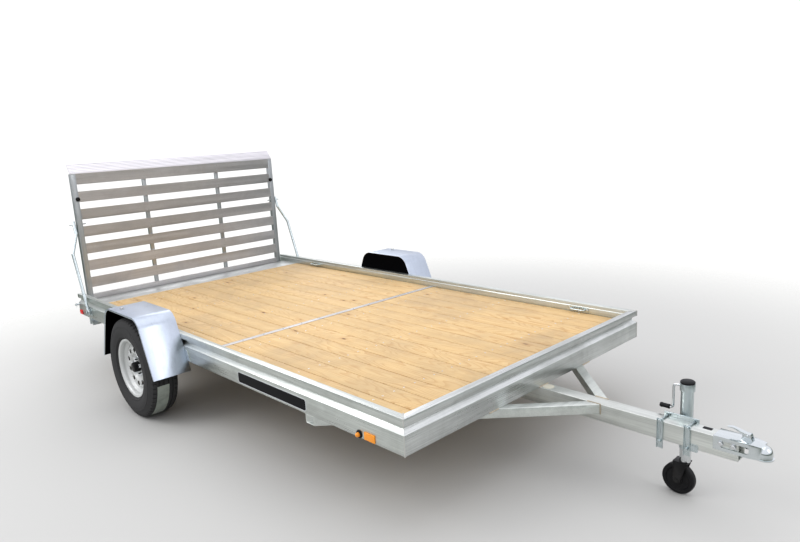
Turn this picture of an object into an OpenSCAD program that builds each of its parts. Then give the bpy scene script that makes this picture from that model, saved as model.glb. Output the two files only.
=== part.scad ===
// Single-axle aluminium utility trailer with a timber deck, a ramp tailgate and a swivel tongue jack.
// Millimetres. +X points forward to the coupler, +Y to the left side, +Z up.
// The origin is on the ground, under the middle of the trailer's overall box.

/* [Bed] */
// Length of the side rails
bed_l = 3900; // [2600:50:5200]
// Width over the side rails
bed_w = 2060; // [1500:20:2500]
// Height of the rail extrusion
rail_h = 172; // [140:2:220]
// Thickness of the rail extrusion
rail_t = 44; // [36:1:70]
// Width of the rail's top lip
rail_lip = 40; // [30:1:60]
// Wall of the rail extrusion
rail_wall = 4; // [3:0.5:6]
// Depth of the groove in the rail's outer face
groove_d = 22; // [10:1:28]
// Height of the band above the groove
groove_top = 32; // [20:1:45]
// Drop of the deck's top below the rail's top
deck_drop = 60; // [40:1:90]
// Thickness of a deck board
board_t = 38; // [20:1:45]
// Number of deck boards
board_n = 14; // [8:1:20]
// Gap between deck boards
board_gap = 4; // [2:1:10]
// Width of the aluminium tail plate behind the boards
tail_w = 245; // [120:5:400]
// Number of crossmembers under the deck
cross_n = 6; // [3:1:10]
// Width of a crossmember
cross_w = 40; // [30:1:70]

/* [Tongue] */
// Length of the tongue ahead of the front rail
tongue_out = 986; // [700:10:1600]
// Length of the tongue under the bed
tongue_in = 1150; // [700:10:1800]
// Width of the tongue
tongue_w = 76; // [60:1:120]
// Height of the tongue
tongue_h = 89; // [60:1:140]
// Wall of the tongue and brace tubes
tube_wall = 5; // [3:0.5:8]
// Width of a square brace tube
brace_w = 50; // [30:1:80]
// Distance ahead of the front rail at which the braces meet the tongue
brace_out = 350; // [200:10:600]
// Distance from the tongue's tip to the coupler's nose
coupler_out = 125; // [115:1:180]
// Length of tongue that the coupler covers
coupler_lap = 103; // [80:1:200]
// Diameter of the hitch ball that the coupler takes
ball_d = 50.8; // [47:0.1:60]

/* [Axle and wheels] */
// Radius of the tyre
tyre_r = 332; // [280:1:380]
// Width of the tyre
tyre_w = 203; // [150:1:225]
// Radius of the rim's flange
rim_r = 197; // [170:1:215]
// Distance of the axle behind the front rail's face
axle_back = 2340; // [1500:10:3200]
// Height of the rail's top above the hub
rail_over_hub = 240; // [200:5:320]
// Length of the torsion arm
arm_l = 148; // [120:1:200]
// Side of the square axle tube
axle_tube = 60; // [50:1:76]
// Radius of the spindle
spindle_r = 15; // [12:0.5:20]
// Diameter of the circle of wheel studs
stud_pcd = 114.3; // [98:0.1:140]
// Number of wheel studs
stud_n = 5; // [4:1:8]
// Number of vent holes in the rim
vent_n = 10; // [6:1:16]
// Distance of the wheel's disc outside the tyre's middle plane
disc_out = 25; // [0:1:27]

/* [Fenders] */
// Width of a fender
fender_w = 243.5; // [220:0.5:320]
// Height of the fender's top above the rail's top
fender_up = 139; // [120:1:260]
// Half length of the fender's flat top, to where its slopes meet it
fender_top = 250; // [160:1:320]
// Half length of the fender at its lower edges
fender_foot = 406; // [360:1:520]
// Height of the fender's lower edges above the hub
fender_low = 11; // [-40:1:120]
// Outer radius of the fender's bends
fender_bend = 105; // [40:1:150]
// Thickness of the fender sheet
sheet = 3; // [2:0.5:5]

/* [Tailgate] */
// Distance of the gate's middle plane behind the front rail's face
gate_back = 3875; // [2550:5:5180]
// Height of the hinge pins below the rail's top
hinge_drop = 85; // [70:1:110]
// Height of the gate from its hinge pins to the foot of its lip
gate_h = 1070; // [700:5:1600]
// Gap between a rail's inner face and the gate
gate_gap = 26; // [16:1:60]
// Width of a gate side bar, across the trailer
gate_bar_w = 42; // [25:1:60]
// Depth of a gate side bar, along the trailer
gate_bar_d = 40; // [25:1:60]
// Number of slats
slat_n = 8; // [4:1:14]
// Height of a slat
slat_h = 86; // [50:1:110]
// Height of the bent lip
lip_up = 82; // [40:1:120]
// Distance that the lip's edge stands behind the gate's front face
lip_back = 62; // [50:1:110]
// Radius of the gate's hinge pins
hinge_r = 8; // [6:0.5:10]

/* [Prop bars] */
// Distance of the prop's lower pin ahead of the gate
prop_fore = 245; // [150:5:400]
// Height of the prop's lower pin below the rail's top
prop_drop = 112; // [95:1:140]
// Height of the prop's upper pin above the rail's top
prop_up = 575; // [400:5:800]
// Radius of a prop bar
prop_r = 12; // [6:0.5:13]

/* [Jack] */
// Distance of the jack ahead of the front rail's face
jack_out = 711; // [500:1:900]
// Distance of the jack's tube from the trailer's middle plane
jack_side = 96; // [90:1:140]
// Radius of the jack's outer tube
jack_r = 28.5; // [24:0.5:36]
// Wall of the jack's outer tube
jack_wall = 3; // [2:0.5:4]
// Length of the outer tube above the swivel
jack_above = 200; // [150:5:260]
// Length of the outer tube below the swivel
jack_below = 118; // [90:1:160]
// Radius of the jack's wheel
caster_r = 76; // [60:1:85]
// Width of the jack's wheel
caster_w = 40; // [30:1:50]
// Trail of the jack's wheel
caster_trail = 25; // [15:1:35]

/* [Stabilisers] */
// Distance of the rear stabilisers ahead of the gate
stab_fore = 210; // [150:5:500]
// Length of a stabiliser leg, from its pin to its foot
stab_l = 345; // [250:5:350]
// Side of a stabiliser leg's square tube
stab_w = 40; // [30:1:42]

/* [Clearances] */
// Radial clearance of a pin that something turns on
run_fit = 0.05; // [0.02:0.01:0.1]
// Gap between moving pieces
move_gap = 6; // [5:0.5:10]
// Gap between the upright gate and the tail plate
tail_gap = 14; // [14:1:30]
// Gap between fitted still pieces
still_gap = 0.5; // [0.2:0.1:1]
// Radial clearance of a bolt in its hole
bolt_gap = 0.2; // [0.1:0.05:0.5]

/* [Hidden] */
$fn = 48;
eps = 0.01;

// Heights
hub_z = tyre_r;
rail_top = hub_z + rail_over_hub;
rail_z = rail_top - rail_h;
deck_z = rail_top - deck_drop;

// Places along the trailer. The overall box runs from the lip's edge to the coupler's nose.
nose_ahead = tongue_out + coupler_out;
tail_behind = max(bed_l, gate_back - gate_bar_d / 2 + lip_back);
front_x = (tail_behind - nose_ahead) / 2;
rear_x = front_x - bed_l;
axle_x = front_x - axle_back;
gate_x = front_x - gate_back;
gate_front = gate_x + gate_bar_d / 2;
tail_x = gate_front + tail_gap;
board_fit = 2;
boards_front = front_x - rail_t - board_fit;
boards_rear = tail_x + tail_w;
tip_x = front_x + tongue_out;

// Places across the trailer
rail_y = bed_w / 2;
inner_y = rail_y - rail_t;
fender_y = rail_y + fender_w;
tyre_inset = 3.5;
tyre_y = fender_y - tyre_inset - tyre_w / 2;
gate_y = inner_y - gate_gap;

// Rail section, as (inward, up) from the outer face and the top
groove_ledge = 3;
groove_h = 21;
groove_ramp = 20;
groove_back = groove_top + groove_ledge;
groove_low = groove_back + groove_h;
groove_end = groove_low + groove_ramp;
lip_step = 24;
lip_ramp = 4;

// Lights
light_drop = 150;

// Gate
hinge_z = rail_top - hinge_drop;
gate_top = hinge_z + gate_h;
bar_foot = 20;
bar_wall = 4;
slat_d = 20;
slat_wall = 3.5;
slat_foot = 19;
slat_pitch = (gate_h + slat_foot - slat_h) / (slat_n - 1);
stiffener_y = 350;
stiffener_w = 32;
lip_t = 5;

// Props
prop_x = gate_x + prop_fore;
prop_z = rail_top - prop_drop;
prop_pin_r = 5;
prop_spare = 1;
prop_joggle = 4;
prop_out_y = rail_y + move_gap + prop_r + prop_spare;
prop_in_y = gate_y + prop_r + move_gap + prop_joggle;
prop_rise = prop_up + prop_drop;
prop_lean = atan(prop_fore / prop_rise);
prop_l = sqrt(prop_fore * prop_fore + prop_rise * prop_rise);

// Jack
jack_x = front_x + jack_out;
jack_z = rail_z - tongue_h / 2;
strap_pitch = 123;
strap_w = 29;
strap_reach = 40;
strap_r = 5;
strap_bolts = [rail_z + strap_r + 1, rail_z - tongue_h - strap_r - 1];
clamp_t = 8;
swivel_r = 14;
collar_r = 44;
jack_head_r = jack_r + 5;
jack_head_h = 34;
fork_gap = 5;
fork_t = 4;
fork_over = 10;
fork_top = 2 * caster_r + fork_over;
fork_plate = 8;
leg_r = jack_r - jack_wall - run_fit;
leg_above = 130;
leg_top = jack_z + leg_above;
leg_foot = fork_top + fork_plate;
axle_pin_r = 6;
stem_r = 8;

// Stabilisers
stab_x = gate_x + stab_fore;
stab_pin_r = 8;
stab_top_wall = 5;
stab_spare = 2;
stab_inset = 45;
stab_z = rail_z - stab_top_wall - stab_w / 2 - move_gap - stab_spare;
stab_y = rail_y - stab_inset;
stab_cheek = stab_w / 2 + move_gap;

// Wheels
wheel_open = 33;
stud_r = 6.35;
nut_r = 11;
disc_t = 3.5;
hub_in = 74;

// ---------------------------------------------------------------- helpers

// A round rod between two points
module rod(a, b, r) {
    d = b - a;
    length = norm(d);
    translate(a) rotate([0, acos(d[2] / length), atan2(d[1], d[0])]) cylinder(h = length, r = r);
}

// A round pin along Y, from y0 to y1
module pin_y(x, y0, y1, z, r) {
    translate([x, y0, z]) rotate([-90, 0, 0]) cylinder(h = y1 - y0, r = r);
}

// A round pin along X, from x0 to x1
module pin_x(x0, x1, y, z, r) {
    translate([x0, y, z]) rotate([0, 90, 0]) cylinder(h = x1 - x0, r = r);
}

// A block between two corners
module block(a, b) {
    translate(a) cube(b - a);
}

// A flat outline in X and Z, given a thickness from y0 to y1
module slab_y(y0, y1) {
    translate([0, y1, 0]) rotate([90, 0, 0]) linear_extrude(y1 - y0) children();
}

// The same piece on the right side and, mirrored, on the left
module both_sides() {
    children();
    mirror([0, 1, 0]) children();
}

// Points of an arc, from angle a0 to a1
function arc(cx, cy, r, a0, a1, n) =
    [for (i = [0:n]) let (a = a0 + (a1 - a0) * i / n) [cx + r * cos(a), cy + r * sin(a)]];

// The same points, last first
function reversed(points) = [for (i = [len(points) - 1:-1:0]) points[i]];

// Half of a turned section, as (radius, across), with its mirror image across the middle plane
function mirrored(half) = concat(half, reversed([for (p = half) [p[0], -p[1]]]));

// ---------------------------------------------------------------- bed

// Outline and chambers of the rail extrusion, outer face at 0, running inward, top at 0
module rail_section() {
    difference() {
        polygon([[0, 0], [0, -groove_top], [groove_d, -groove_back], [groove_d, -groove_low],
            [0, -groove_end], [0, -rail_h], [rail_t, -rail_h], [rail_t, -lip_step],
            [rail_lip, -lip_step + lip_ramp], [rail_lip, 0]]);
        translate([rail_wall, -groove_top + rail_wall])
            square([rail_lip - 2 * rail_wall, groove_top - 2 * rail_wall]);
        translate([groove_d + rail_wall, -groove_end])
            square([rail_lip - groove_d - 2 * rail_wall, groove_end - groove_top]);
        translate([rail_wall, -rail_h + rail_wall])
            square([rail_t - 2 * rail_wall, rail_h - groove_end - 2 * rail_wall]);
    }
}

module side_rail() {
    difference() {
        intersection() {
            translate([rear_x, 0, 0]) rotate([90, 0, 90]) linear_extrude(bed_l)
                translate([-rail_y, rail_top]) rail_section();
            translate([0, 0, rail_z - 1]) linear_extrude(rail_h + 2)
                polygon([[rear_x, -rail_y], [front_x, -rail_y], [front_x - rail_t, -inner_y],
                    [rear_x, -inner_y]]);
        }
        pin_y(gate_x, -rail_y - 1, -inner_y + 1, hinge_z, hinge_r + 0.1);
    }
}

module side_rail_right() {
    color("silver") side_rail();
}

module side_rail_left() {
    color("silver") mirror([0, 1, 0]) side_rail();
}

module front_rail() {
    color("silver") intersection() {
        slab_y(-rail_y, rail_y) translate([front_x, rail_top]) mirror([1, 0]) rail_section();
        translate([0, 0, rail_z - 1]) linear_extrude(rail_h + 2)
            polygon([[front_x, -rail_y], [front_x, rail_y], [front_x - rail_t, inner_y],
                [front_x - rail_t, -inner_y]]);
    }
}

// Hollow extrusion behind the boards: its top carries on the deck to the gate
module tail_plate() {
    wall = 5;
    color("gainsboro") difference() {
        block([tail_x, -inner_y, rail_z], [boards_rear, inner_y, deck_z]);
        block([tail_x + wall, -inner_y - 1, rail_z + wall],
            [boards_rear - wall, inner_y + 1, deck_z - wall]);
    }
}

// Channels across the bed, open to the rear
module crossmembers() {
    wall = 4;
    fore = 300;
    aft = 240;
    top = deck_z - board_t;
    first = front_x - rail_t - fore;
    pitch = (first - (boards_rear + aft)) / (cross_n - 1);
    color("silver") for (i = [0:cross_n - 1]) translate([first - i * pitch, 0, 0]) difference() {
        block([-cross_w, -inner_y, rail_z], [0, inner_y, top]);
        block([-cross_w - 1, -inner_y - 1, rail_z + wall], [-wall, inner_y + 1, top - wall]);
    }
}

module deck_boards() {
    room = 2 * inner_y;
    width = (room - (board_n + 1) * board_gap) / board_n;
    color("burlywood") for (i = [0:board_n - 1])
        translate([boards_rear + board_fit, -inner_y + board_gap + i * (width + board_gap),
            deck_z - board_t])
            cube([boards_front - boards_rear - board_fit, width, board_t]);
}

// Thin strip screwed across the boards
module deck_strip() {
    back = 1727;
    half_w = 19;
    thick = 3;
    x = front_x - back;
    half_l = inner_y - board_fit;
    color("silver") block([x - half_w, -half_l, deck_z], [x + half_w, half_l, deck_z + thick]);
}

// Wire loops on plates inside the side rails
module tie_down_loops() {
    loop_z = deck_z + 22;
    fore = 385;
    aft = 545;
    plate_l = 150;
    plate_h = 30;
    plate_t = 4;
    loop_l = 100;
    reach = 30;
    wire_r = 5;
    foot_y = -inner_y + plate_t / 2;
    loop_y = -inner_y + reach;
    color("gainsboro") for (x = [front_x - fore, rear_x + aft + plate_l / 2])
        translate([x, 0, 0]) both_sides() {
            block([-plate_l / 2, -inner_y, loop_z - plate_h / 2],
                [plate_l / 2, -inner_y + plate_t, loop_z + plate_h / 2]);
            for (end = [-loop_l / 2, loop_l / 2]) {
                rod([end, foot_y, loop_z], [end, loop_y, loop_z], wire_r);
                translate([end, loop_y, loop_z]) sphere(r = wire_r);
            }
            rod([-loop_l / 2, loop_y, loop_z], [loop_l / 2, loop_y, loop_z], wire_r);
        }
}

// Flat reflector on the rail's outer face
module reflector(x, w) {
    h = 36;
    thick = 6;
    z = rail_top - light_drop;
    block([x - w / 2, -rail_y - thick, z - h / 2], [x + w / 2, -rail_y, z + h / 2]);
}

// Reflector and bullet light near each side rail's front
module amber_lights() {
    reflector_back = 221;
    bullet_back = 294;
    bullet_r = 11;
    bullet_out = 12;
    bullet_z = rail_top - light_drop - 5;
    color("orange") both_sides() {
        reflector(front_x - reflector_back, 70);
        pin_y(front_x - bullet_back, -rail_y - bullet_out, -rail_y, bullet_z, bullet_r);
        translate([front_x - bullet_back, -rail_y - bullet_out, bullet_z]) sphere(r = bullet_r);
    }
}

// Reflector near each side rail's end, and an oval lamp on the tail plate
module red_lights() {
    reflector_fore = 42;
    lamp_r = 28;
    lamp_t = 8;
    lamp_z = rail_z + 30;
    near = -inner_y + 140;
    far = -inner_y + 250;
    color("red") both_sides() {
        reflector(rear_x + reflector_fore, 58);
        for (y = [near, far]) pin_x(tail_x - lamp_t, tail_x, y, lamp_z, lamp_r);
        block([tail_x - lamp_t, near, lamp_z - lamp_r], [tail_x, far, lamp_z + lamp_r]);
    }
}

// Bracket for a licence plate, with the usual holes 178 by 121 apart
module number_plate_bracket() {
    y = inner_y - 420;
    half_w = 105;
    drop = 145;
    shelf = 38;
    thick = 3;
    hole_r = 3.5;
    hole_w = 178;
    hole_h = 121;
    edge = (drop - hole_h) / 2;
    x = tail_x + 2;
    color("silver") difference() {
        union() {
            block([x, y - half_w, rail_z - drop], [x + thick, y + half_w, rail_z]);
            block([x, y - half_w, rail_z - thick], [x + shelf, y + half_w, rail_z]);
        }
        for (dy = [-hole_w / 2, hole_w / 2]) for (z = [rail_z - edge, rail_z - edge - hole_h])
            pin_x(x - 1, x + thick + 1, y + dy, z, hole_r);
    }
}

// ---------------------------------------------------------------- tongue

module tongue_beam() {
    x0 = front_x - tongue_in;
    half = tongue_w / 2;
    color("silver") difference() {
        block([x0, -half, rail_z - tongue_h], [tip_x, half, rail_z]);
        block([x0 - 1, -half + tube_wall, rail_z - tongue_h + tube_wall],
            [tip_x + 1, half - tube_wall, rail_z - tube_wall]);
    }
}

// A square tube at 45 degrees from the tongue's side back to the rail's outer face
module tongue_brace() {
    long = 4 * bed_w;
    color("silver") intersection() {
        translate([front_x + brace_out, -tongue_w / 2, rail_z]) rotate([0, 0, -135]) difference() {
            block([-long / 2, -brace_w, -brace_w], [long / 2, 0, 0]);
            block([-long / 2 - 1, -brace_w + tube_wall, -brace_w + tube_wall],
                [long / 2 + 1, -tube_wall, -tube_wall]);
        }
        block([-long, -rail_y, 0], [long, -tongue_w / 2, rail_top]);
    }
}

module tongue_brace_right() {
    tongue_brace();
}

module tongue_brace_left() {
    mirror([0, 1, 0]) tongue_brace();
}

// Straight coupler: a channel over the tongue's tip that narrows to a domed ball socket
dome_r = 34;
flange_r = 39;
flange_t = 5;
channel_over = 40;
socket_gap = 0.3;
socket_r = ball_d / 2 + socket_gap;
ball_x = tip_x + coupler_out - flange_r;
ball_z = rail_z - 32;
coupler_z = rail_z - 56;
coupler_wall = 5;

// Long slot through the channel's side at y
module coupler_window(y) {
    rear = tip_x - 66;
    front = tip_x + 30;
    slot_r = 14;
    slot_z = rail_z - 25;
    reach = 10;
    for (x = [rear, front]) pin_y(x, y - reach, y + reach, slot_z, slot_r);
    block([rear, y - reach, slot_z - slot_r], [front, y + reach, slot_z + slot_r]);
}

module coupler_body() {
    half = tongue_w / 2 + still_gap;
    side = half + coupler_wall;
    top = rail_z + still_gap;
    roof = top + coupler_wall;
    mouth = tip_x + channel_over;
    color("whitesmoke") difference() {
        union() {
            // Channel over the tongue
            difference() {
                block([tip_x - coupler_lap, -side, coupler_z], [mouth, side, roof]);
                block([tip_x - coupler_lap - 1, -half, coupler_z - 1], [mouth + 1, half, top]);
                for (y = [-half, half]) coupler_window(y);
            }
            // Neck that narrows to the dome
            intersection() {
                translate([0, 0, coupler_z]) linear_extrude(roof)
                    polygon([[mouth - eps, -side], [ball_x, -dome_r], [ball_x, dome_r],
                        [mouth - eps, side]]);
                slab_y(-tongue_w, tongue_w) polygon([[mouth - eps, coupler_z], [ball_x + 1, coupler_z],
                    [ball_x + 1, ball_z + dome_r - 1], [mouth + 12, roof], [mouth - eps, roof]]);
            }
            translate([ball_x, 0, ball_z]) sphere(r = dome_r);
            translate([ball_x, 0, coupler_z]) cylinder(h = ball_z - coupler_z, r = dome_r);
            translate([ball_x, 0, coupler_z]) cylinder(h = flange_t, r = flange_r);
        }
        // Ball socket, open below
        translate([ball_x, 0, ball_z]) sphere(r = socket_r);
        translate([ball_x, 0, coupler_z - dome_r]) cylinder(h = ball_z - coupler_z + dome_r, r = socket_r);
        translate([ball_x, 0, 0]) cylinder(h = coupler_z, r = 2 * dome_r);
    }
}

// Latch on the coupler: two ears, a pivot pin and the lever
module coupler_latch() {
    foot = rail_z + still_gap + coupler_wall;
    x = tip_x + 22;
    ear_t = 4;
    lever_w = 20;
    pin_l = 40;
    pin_r = 5;
    color("whitesmoke") {
        for (y = [-lever_w / 2 - ear_t, lever_w / 2]) slab_y(y, y + ear_t)
            polygon([[x - 26, foot], [x + 22, foot], [x + 12, foot + 30], [x - 10, foot + 30]]);
        pin_y(x + 2, -pin_l / 2, pin_l / 2, foot + 22, pin_r);
        slab_y(-lever_w / 2, lever_w / 2) polygon([[x + 14, foot + 16], [x + 10, foot + 28],
            [x - 60, foot + 44], [x - 82, foot + 42], [x - 82, foot + 38], [x - 60, foot + 38],
            [x - 8, foot + 18]]);
    }
}

// ---------------------------------------------------------------- jack

// Channel straps on the tongue's right side, with bolts over and under the tongue
module jack_clamp() {
    half = tongue_w / 2;
    low = rail_z - tongue_h - strap_reach;
    high = rail_z + 14;
    deep = 10;
    wall = 3;
    head_r = 9;
    head_h = 7;
    bolt_out = 6;
    nut_out = 10;
    color("gainsboro") for (x = [jack_x - strap_pitch / 2, jack_x + strap_pitch / 2]) {
        difference() {
            block([x - strap_w / 2, -half - deep, low], [x + strap_w / 2, -half, high]);
            block([x - strap_w / 2 + wall, -half - deep - 1, low - 1],
                [x + strap_w / 2 - wall, -half - wall, high + 1]);
        }
        for (z = strap_bolts) {
            pin_y(x, -half - deep - bolt_out, half + clamp_t + nut_out, z, strap_r);
            translate([x, -half - deep, z]) rotate([90, 0, 0]) cylinder(h = head_h, r = head_r, $fn = 6);
        }
    }
}

// Plate on the tongue's left side, with the stub that the jack swivels on
module jack_bracket() {
    half = tongue_w / 2;
    edge = 18;
    reach = strap_pitch / 2 + edge;
    rise = tongue_h / 2 + edge;
    color("gainsboro") difference() {
        union() {
            block([jack_x - reach, half, jack_z - rise], [jack_x + reach, half + clamp_t, jack_z + rise]);
            pin_y(jack_x, half + clamp_t - eps, jack_side - jack_r - 1, jack_z, swivel_r);
        }
        for (dx = [-strap_pitch / 2, strap_pitch / 2]) for (z = strap_bolts)
            pin_y(jack_x + dx, half - 1, half + clamp_t + 1, z, strap_r + bolt_gap);
    }
}

module jack_tube() {
    collar_y = tongue_w / 2 + clamp_t + move_gap;
    collar_back = jack_side - jack_r + 4;
    saddle_h = 80;
    saddle_w = 2 * jack_r - 4;
    saddle_y = collar_y + 6;
    roof = 5;
    long = jack_below + jack_above;
    color("gainsboro") difference() {
        union() {
            translate([jack_x, jack_side, jack_z - jack_below]) cylinder(h = long, r = jack_r);
            translate([jack_x, jack_side, jack_z + jack_above - jack_head_h])
                cylinder(h = jack_head_h, r = jack_head_r);
            intersection() {
                pin_y(jack_x, collar_y, jack_side, jack_z, collar_r);
                block([0, 0, 0], [front_x + 2 * tongue_out, collar_back, rail_top]);
            }
            block([jack_x - saddle_w / 2, saddle_y, jack_z - saddle_h / 2],
                [jack_x + saddle_w / 2, jack_side, jack_z + saddle_h / 2]);
        }
        translate([jack_x, jack_side, jack_z - jack_below - 1])
            cylinder(h = long - roof + 1, r = jack_r - jack_wall);
        pin_y(jack_x, collar_y - 1, jack_side - jack_r, jack_z, swivel_r + run_fit);
    }
}

// Cranked handle on the jack's head
module jack_crank() {
    shaft_r = 7;
    arm_r = 6;
    arm_out = 30;
    arm_l = 118;
    grip_l = 62;
    x = jack_x - jack_head_r;
    z = jack_z + jack_above - jack_head_h / 2;
    corner = [x - arm_out, jack_side, z - arm_l];
    color("gainsboro") {
        rod([x, jack_side, z], [x - arm_out - 4, jack_side, z], shaft_r);
        rod([x - arm_out, jack_side, z], corner, arm_r);
        translate(corner) sphere(r = arm_r);
        rod(corner, corner - [grip_l, 0, 0], arm_r);
    }
}

// Inner tube with a closed foot and the stem that the fork turns on
module jack_leg() {
    foot_t = 8;
    head_low = fork_top - 6;
    head_t = 5;
    color("whitesmoke") translate([jack_x, jack_side, 0]) difference() {
        union() {
            translate([0, 0, leg_foot]) cylinder(h = leg_top - leg_foot, r = leg_r);
            translate([0, 0, fork_top - 4]) cylinder(h = leg_foot - fork_top + 5, r = stem_r);
            translate([0, 0, head_low]) cylinder(h = head_t, r = stem_r + 5);
        }
        translate([0, 0, leg_foot + foot_t]) cylinder(h = leg_top - leg_foot, r = leg_r - jack_wall);
    }
}

module jack_fork() {
    cheek = caster_w / 2 + fork_gap;
    side = cheek + fork_t;
    wheel_x = jack_x - caster_trail;
    rear = jack_x - 46;
    front = jack_x + 22;
    low = fork_top + 1;
    high = fork_top + fork_plate - 1;
    eye_r = 17;
    pin_out = 6;
    color("dimgray") difference() {
        union() {
            block([rear, jack_side - side, low], [front, jack_side + side, high]);
            for (y = [jack_side - side, jack_side + cheek]) slab_y(y, y + fork_t)
                polygon(concat([[front, high], [rear, high]], arc(wheel_x, caster_r, eye_r, 180, 360, 10)));
            pin_y(wheel_x, jack_side - side - pin_out, jack_side + side + pin_out, caster_r, axle_pin_r);
        }
        translate([jack_x, jack_side, fork_top - 1]) cylinder(h = fork_plate + 2, r = stem_r + run_fit);
    }
}

// Wheel with a hub, a thinner web and a wide rim
module jack_wheel() {
    half = caster_w / 2;
    bore = axle_pin_r + run_fit;
    hub_r = 22;
    web = half - 9;
    rim_in = caster_r - 18;
    side = [[bore, half], [hub_r, half], [hub_r + 4, web], [rim_in - 4, web], [rim_in, half - 2],
        [caster_r - 5, half - 2], [caster_r, half - 8]];
    color("dimgray") translate([jack_x - caster_trail, jack_side, caster_r]) rotate([90, 0, 0])
        rotate_extrude() polygon(mirrored(side));
}

// ---------------------------------------------------------------- axle and wheels

mount_t = 8;
beam_end_r = 29;
spindle_end_r = 25;
beam_z = rail_z - mount_t - axle_tube / 2;
beam_x = axle_x + sqrt(arm_l * arm_l - (beam_z - hub_z) * (beam_z - hub_z));
arm_y = rail_y - 30;
arm_t = 22;

module axle_beam() {
    half = axle_tube / 2;
    mount_l = 220;
    inside = -inner_y + 30;
    color("dimgray") {
        block([beam_x - half, -arm_y, beam_z - half], [beam_x + half, arm_y, beam_z + half]);
        both_sides() block([beam_x - mount_l / 2, -rail_y, rail_z - mount_t],
            [beam_x + mount_l / 2, inside, rail_z]);
    }
}

// Arm on the beam's end and the spindle that carries the wheel, on the right side
module torsion_arm() {
    dx = axle_x - beam_x;
    dz = hub_z - beam_z;
    nx = -dz / arm_l;
    nz = dx / arm_l;
    side = [nx, nz];
    beam_at = [beam_x, beam_z];
    axle_at = [axle_x, hub_z];
    root = -arm_y - arm_t + 1;
    collar = -tyre_y - disc_out + hub_in + 18;
    spindle_end = -tyre_y - disc_out - 10;
    color("dimgray") union() {
        slab_y(-arm_y - arm_t, -arm_y) union() {
            translate(beam_at) circle(r = beam_end_r);
            translate(axle_at) circle(r = spindle_end_r);
            polygon([beam_at + beam_end_r * side, axle_at + spindle_end_r * side,
                axle_at - spindle_end_r * side, beam_at - beam_end_r * side]);
        }
        pin_y(axle_x, collar, root, hub_z, spindle_r + 7);
        pin_y(axle_x, spindle_end, root, hub_z, spindle_r);
    }
}

module torsion_arm_right() {
    torsion_arm();
}

module torsion_arm_left() {
    mirror([0, 1, 0]) torsion_arm();
}

// Turns a section drawn as (radius, outward) about the right wheel's axis
module wheel_turned() {
    translate([axle_x, -tyre_y, hub_z]) rotate([90, 0, 0]) children();
}

// The same piece at each wheel stud
module at_studs() {
    for (i = [0:stud_n - 1]) rotate([0, 0, i * 360 / stud_n + 90]) translate([stud_pcd / 2, 0, 0])
        children();
}

bead_r = 180;
bead_w = 69;

module tyre() {
    belly = 14;
    belly_h = 42;
    belly_r = (bead_r + tyre_r) / 2 + 4;
    belly_y = tyre_w / 2 - belly;
    shoulder = tyre_w / 2 - 31.5;
    side = concat([[bead_r, bead_w], [bead_r + 14, bead_w + 6]],
        [for (a = [-50:25:50]) [belly_r + belly_h * sin(a), belly_y + belly * cos(a)]],
        [[tyre_r - 9, shoulder + 12], [tyre_r - 3, shoulder + 3], [tyre_r, shoulder - 12]]);
    color("dimgray") wheel_turned() rotate_extrude($fn = 96)
        polygon(mirrored(side));
}

module rim() {
    seat = bead_r - 1;
    edge = 82;
    vent_r = 16;
    vent_at = 113;
    stud_gap = 0.6;
    color("lightgray") wheel_turned() difference() {
        union() {
            // Barrel with its drop centre
            rotate_extrude($fn = 96) polygon([[rim_r, edge], [rim_r, edge - 4], [seat + 5, edge - 9],
                [seat, edge - 14], [seat - 2, 46], [157, 36], [157, 4], [seat - 2, -14],
                [seat, 14 - edge], [seat + 5, 9 - edge], [rim_r, 4 - edge], [rim_r, -edge],
                [seat + 3, 3 - edge], [seat - 4, 14 - edge], [seat - 5, -12], [153.5, 2], [153.5, 38],
                [seat - 5, 50], [seat - 4, edge - 14], [seat + 3, edge - 3]]);
            // Disc
            translate([0, 0, disc_out]) rotate_extrude($fn = 96) polygon([[wheel_open, 0], [76, 0], [94, 17], [132, 17], [146, 6],
                [154.5, 6], [154.5, 9.5], [147, 9.5], [134, 20.5], [93, 20.5], [75, disc_t],
                [wheel_open, disc_t]]);
        }
        for (i = [0:vent_n - 1]) rotate([0, 0, (i + 0.5) * 360 / vent_n])
            translate([vent_at, 0, -1]) cylinder(h = bead_w, r = vent_r);
        at_studs() translate([0, 0, disc_out - 1]) cylinder(h = 2 * disc_t, r = stud_r + stud_gap);
    }
}

module hub() {
    barrel_r = 38;
    flange_t = 10;
    flange_r = stud_pcd / 2 + 15;
    nose_r = wheel_open - 1;
    nose_l = 38;
    cap_l = 8;
    stud_l = 40;
    nut_h = 19;
    bore_past = 16;
    color("gainsboro") wheel_turned() translate([0, 0, disc_out]) difference() {
        union() {
            translate([0, 0, -hub_in]) cylinder(h = hub_in, r = barrel_r);
            translate([0, 0, -flange_t]) cylinder(h = flange_t, r = flange_r);
            cylinder(h = nose_l, r = nose_r);
            translate([0, 0, nose_l]) cylinder(h = cap_l, r1 = nose_r, r2 = nose_r - 5);
            at_studs() {
                translate([0, 0, -flange_t - 2]) cylinder(h = stud_l, r = stud_r);
                translate([0, 0, disc_t]) cylinder(h = nut_h, r = nut_r, $fn = 6);
            }
        }
        translate([0, 0, -hub_in - 1]) cylinder(h = hub_in + bore_past + 1, r = spindle_r + run_fit);
    }
}

module tyre_right() {
    tyre();
}

module rim_right() {
    rim();
}

module hub_right() {
    hub();
}

module tyre_left() {
    mirror([0, 1, 0]) tyre();
}

module rim_left() {
    mirror([0, 1, 0]) rim();
}

module hub_left() {
    mirror([0, 1, 0]) hub();
}

// ---------------------------------------------------------------- fenders

fender_z = rail_top + fender_up;
fender_foot_z = hub_z + fender_low;
fender_lip = 12;
skirt_up = 40;
fender_slope = atan2(fender_z - fender_foot_z, fender_foot - fender_top);

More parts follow.
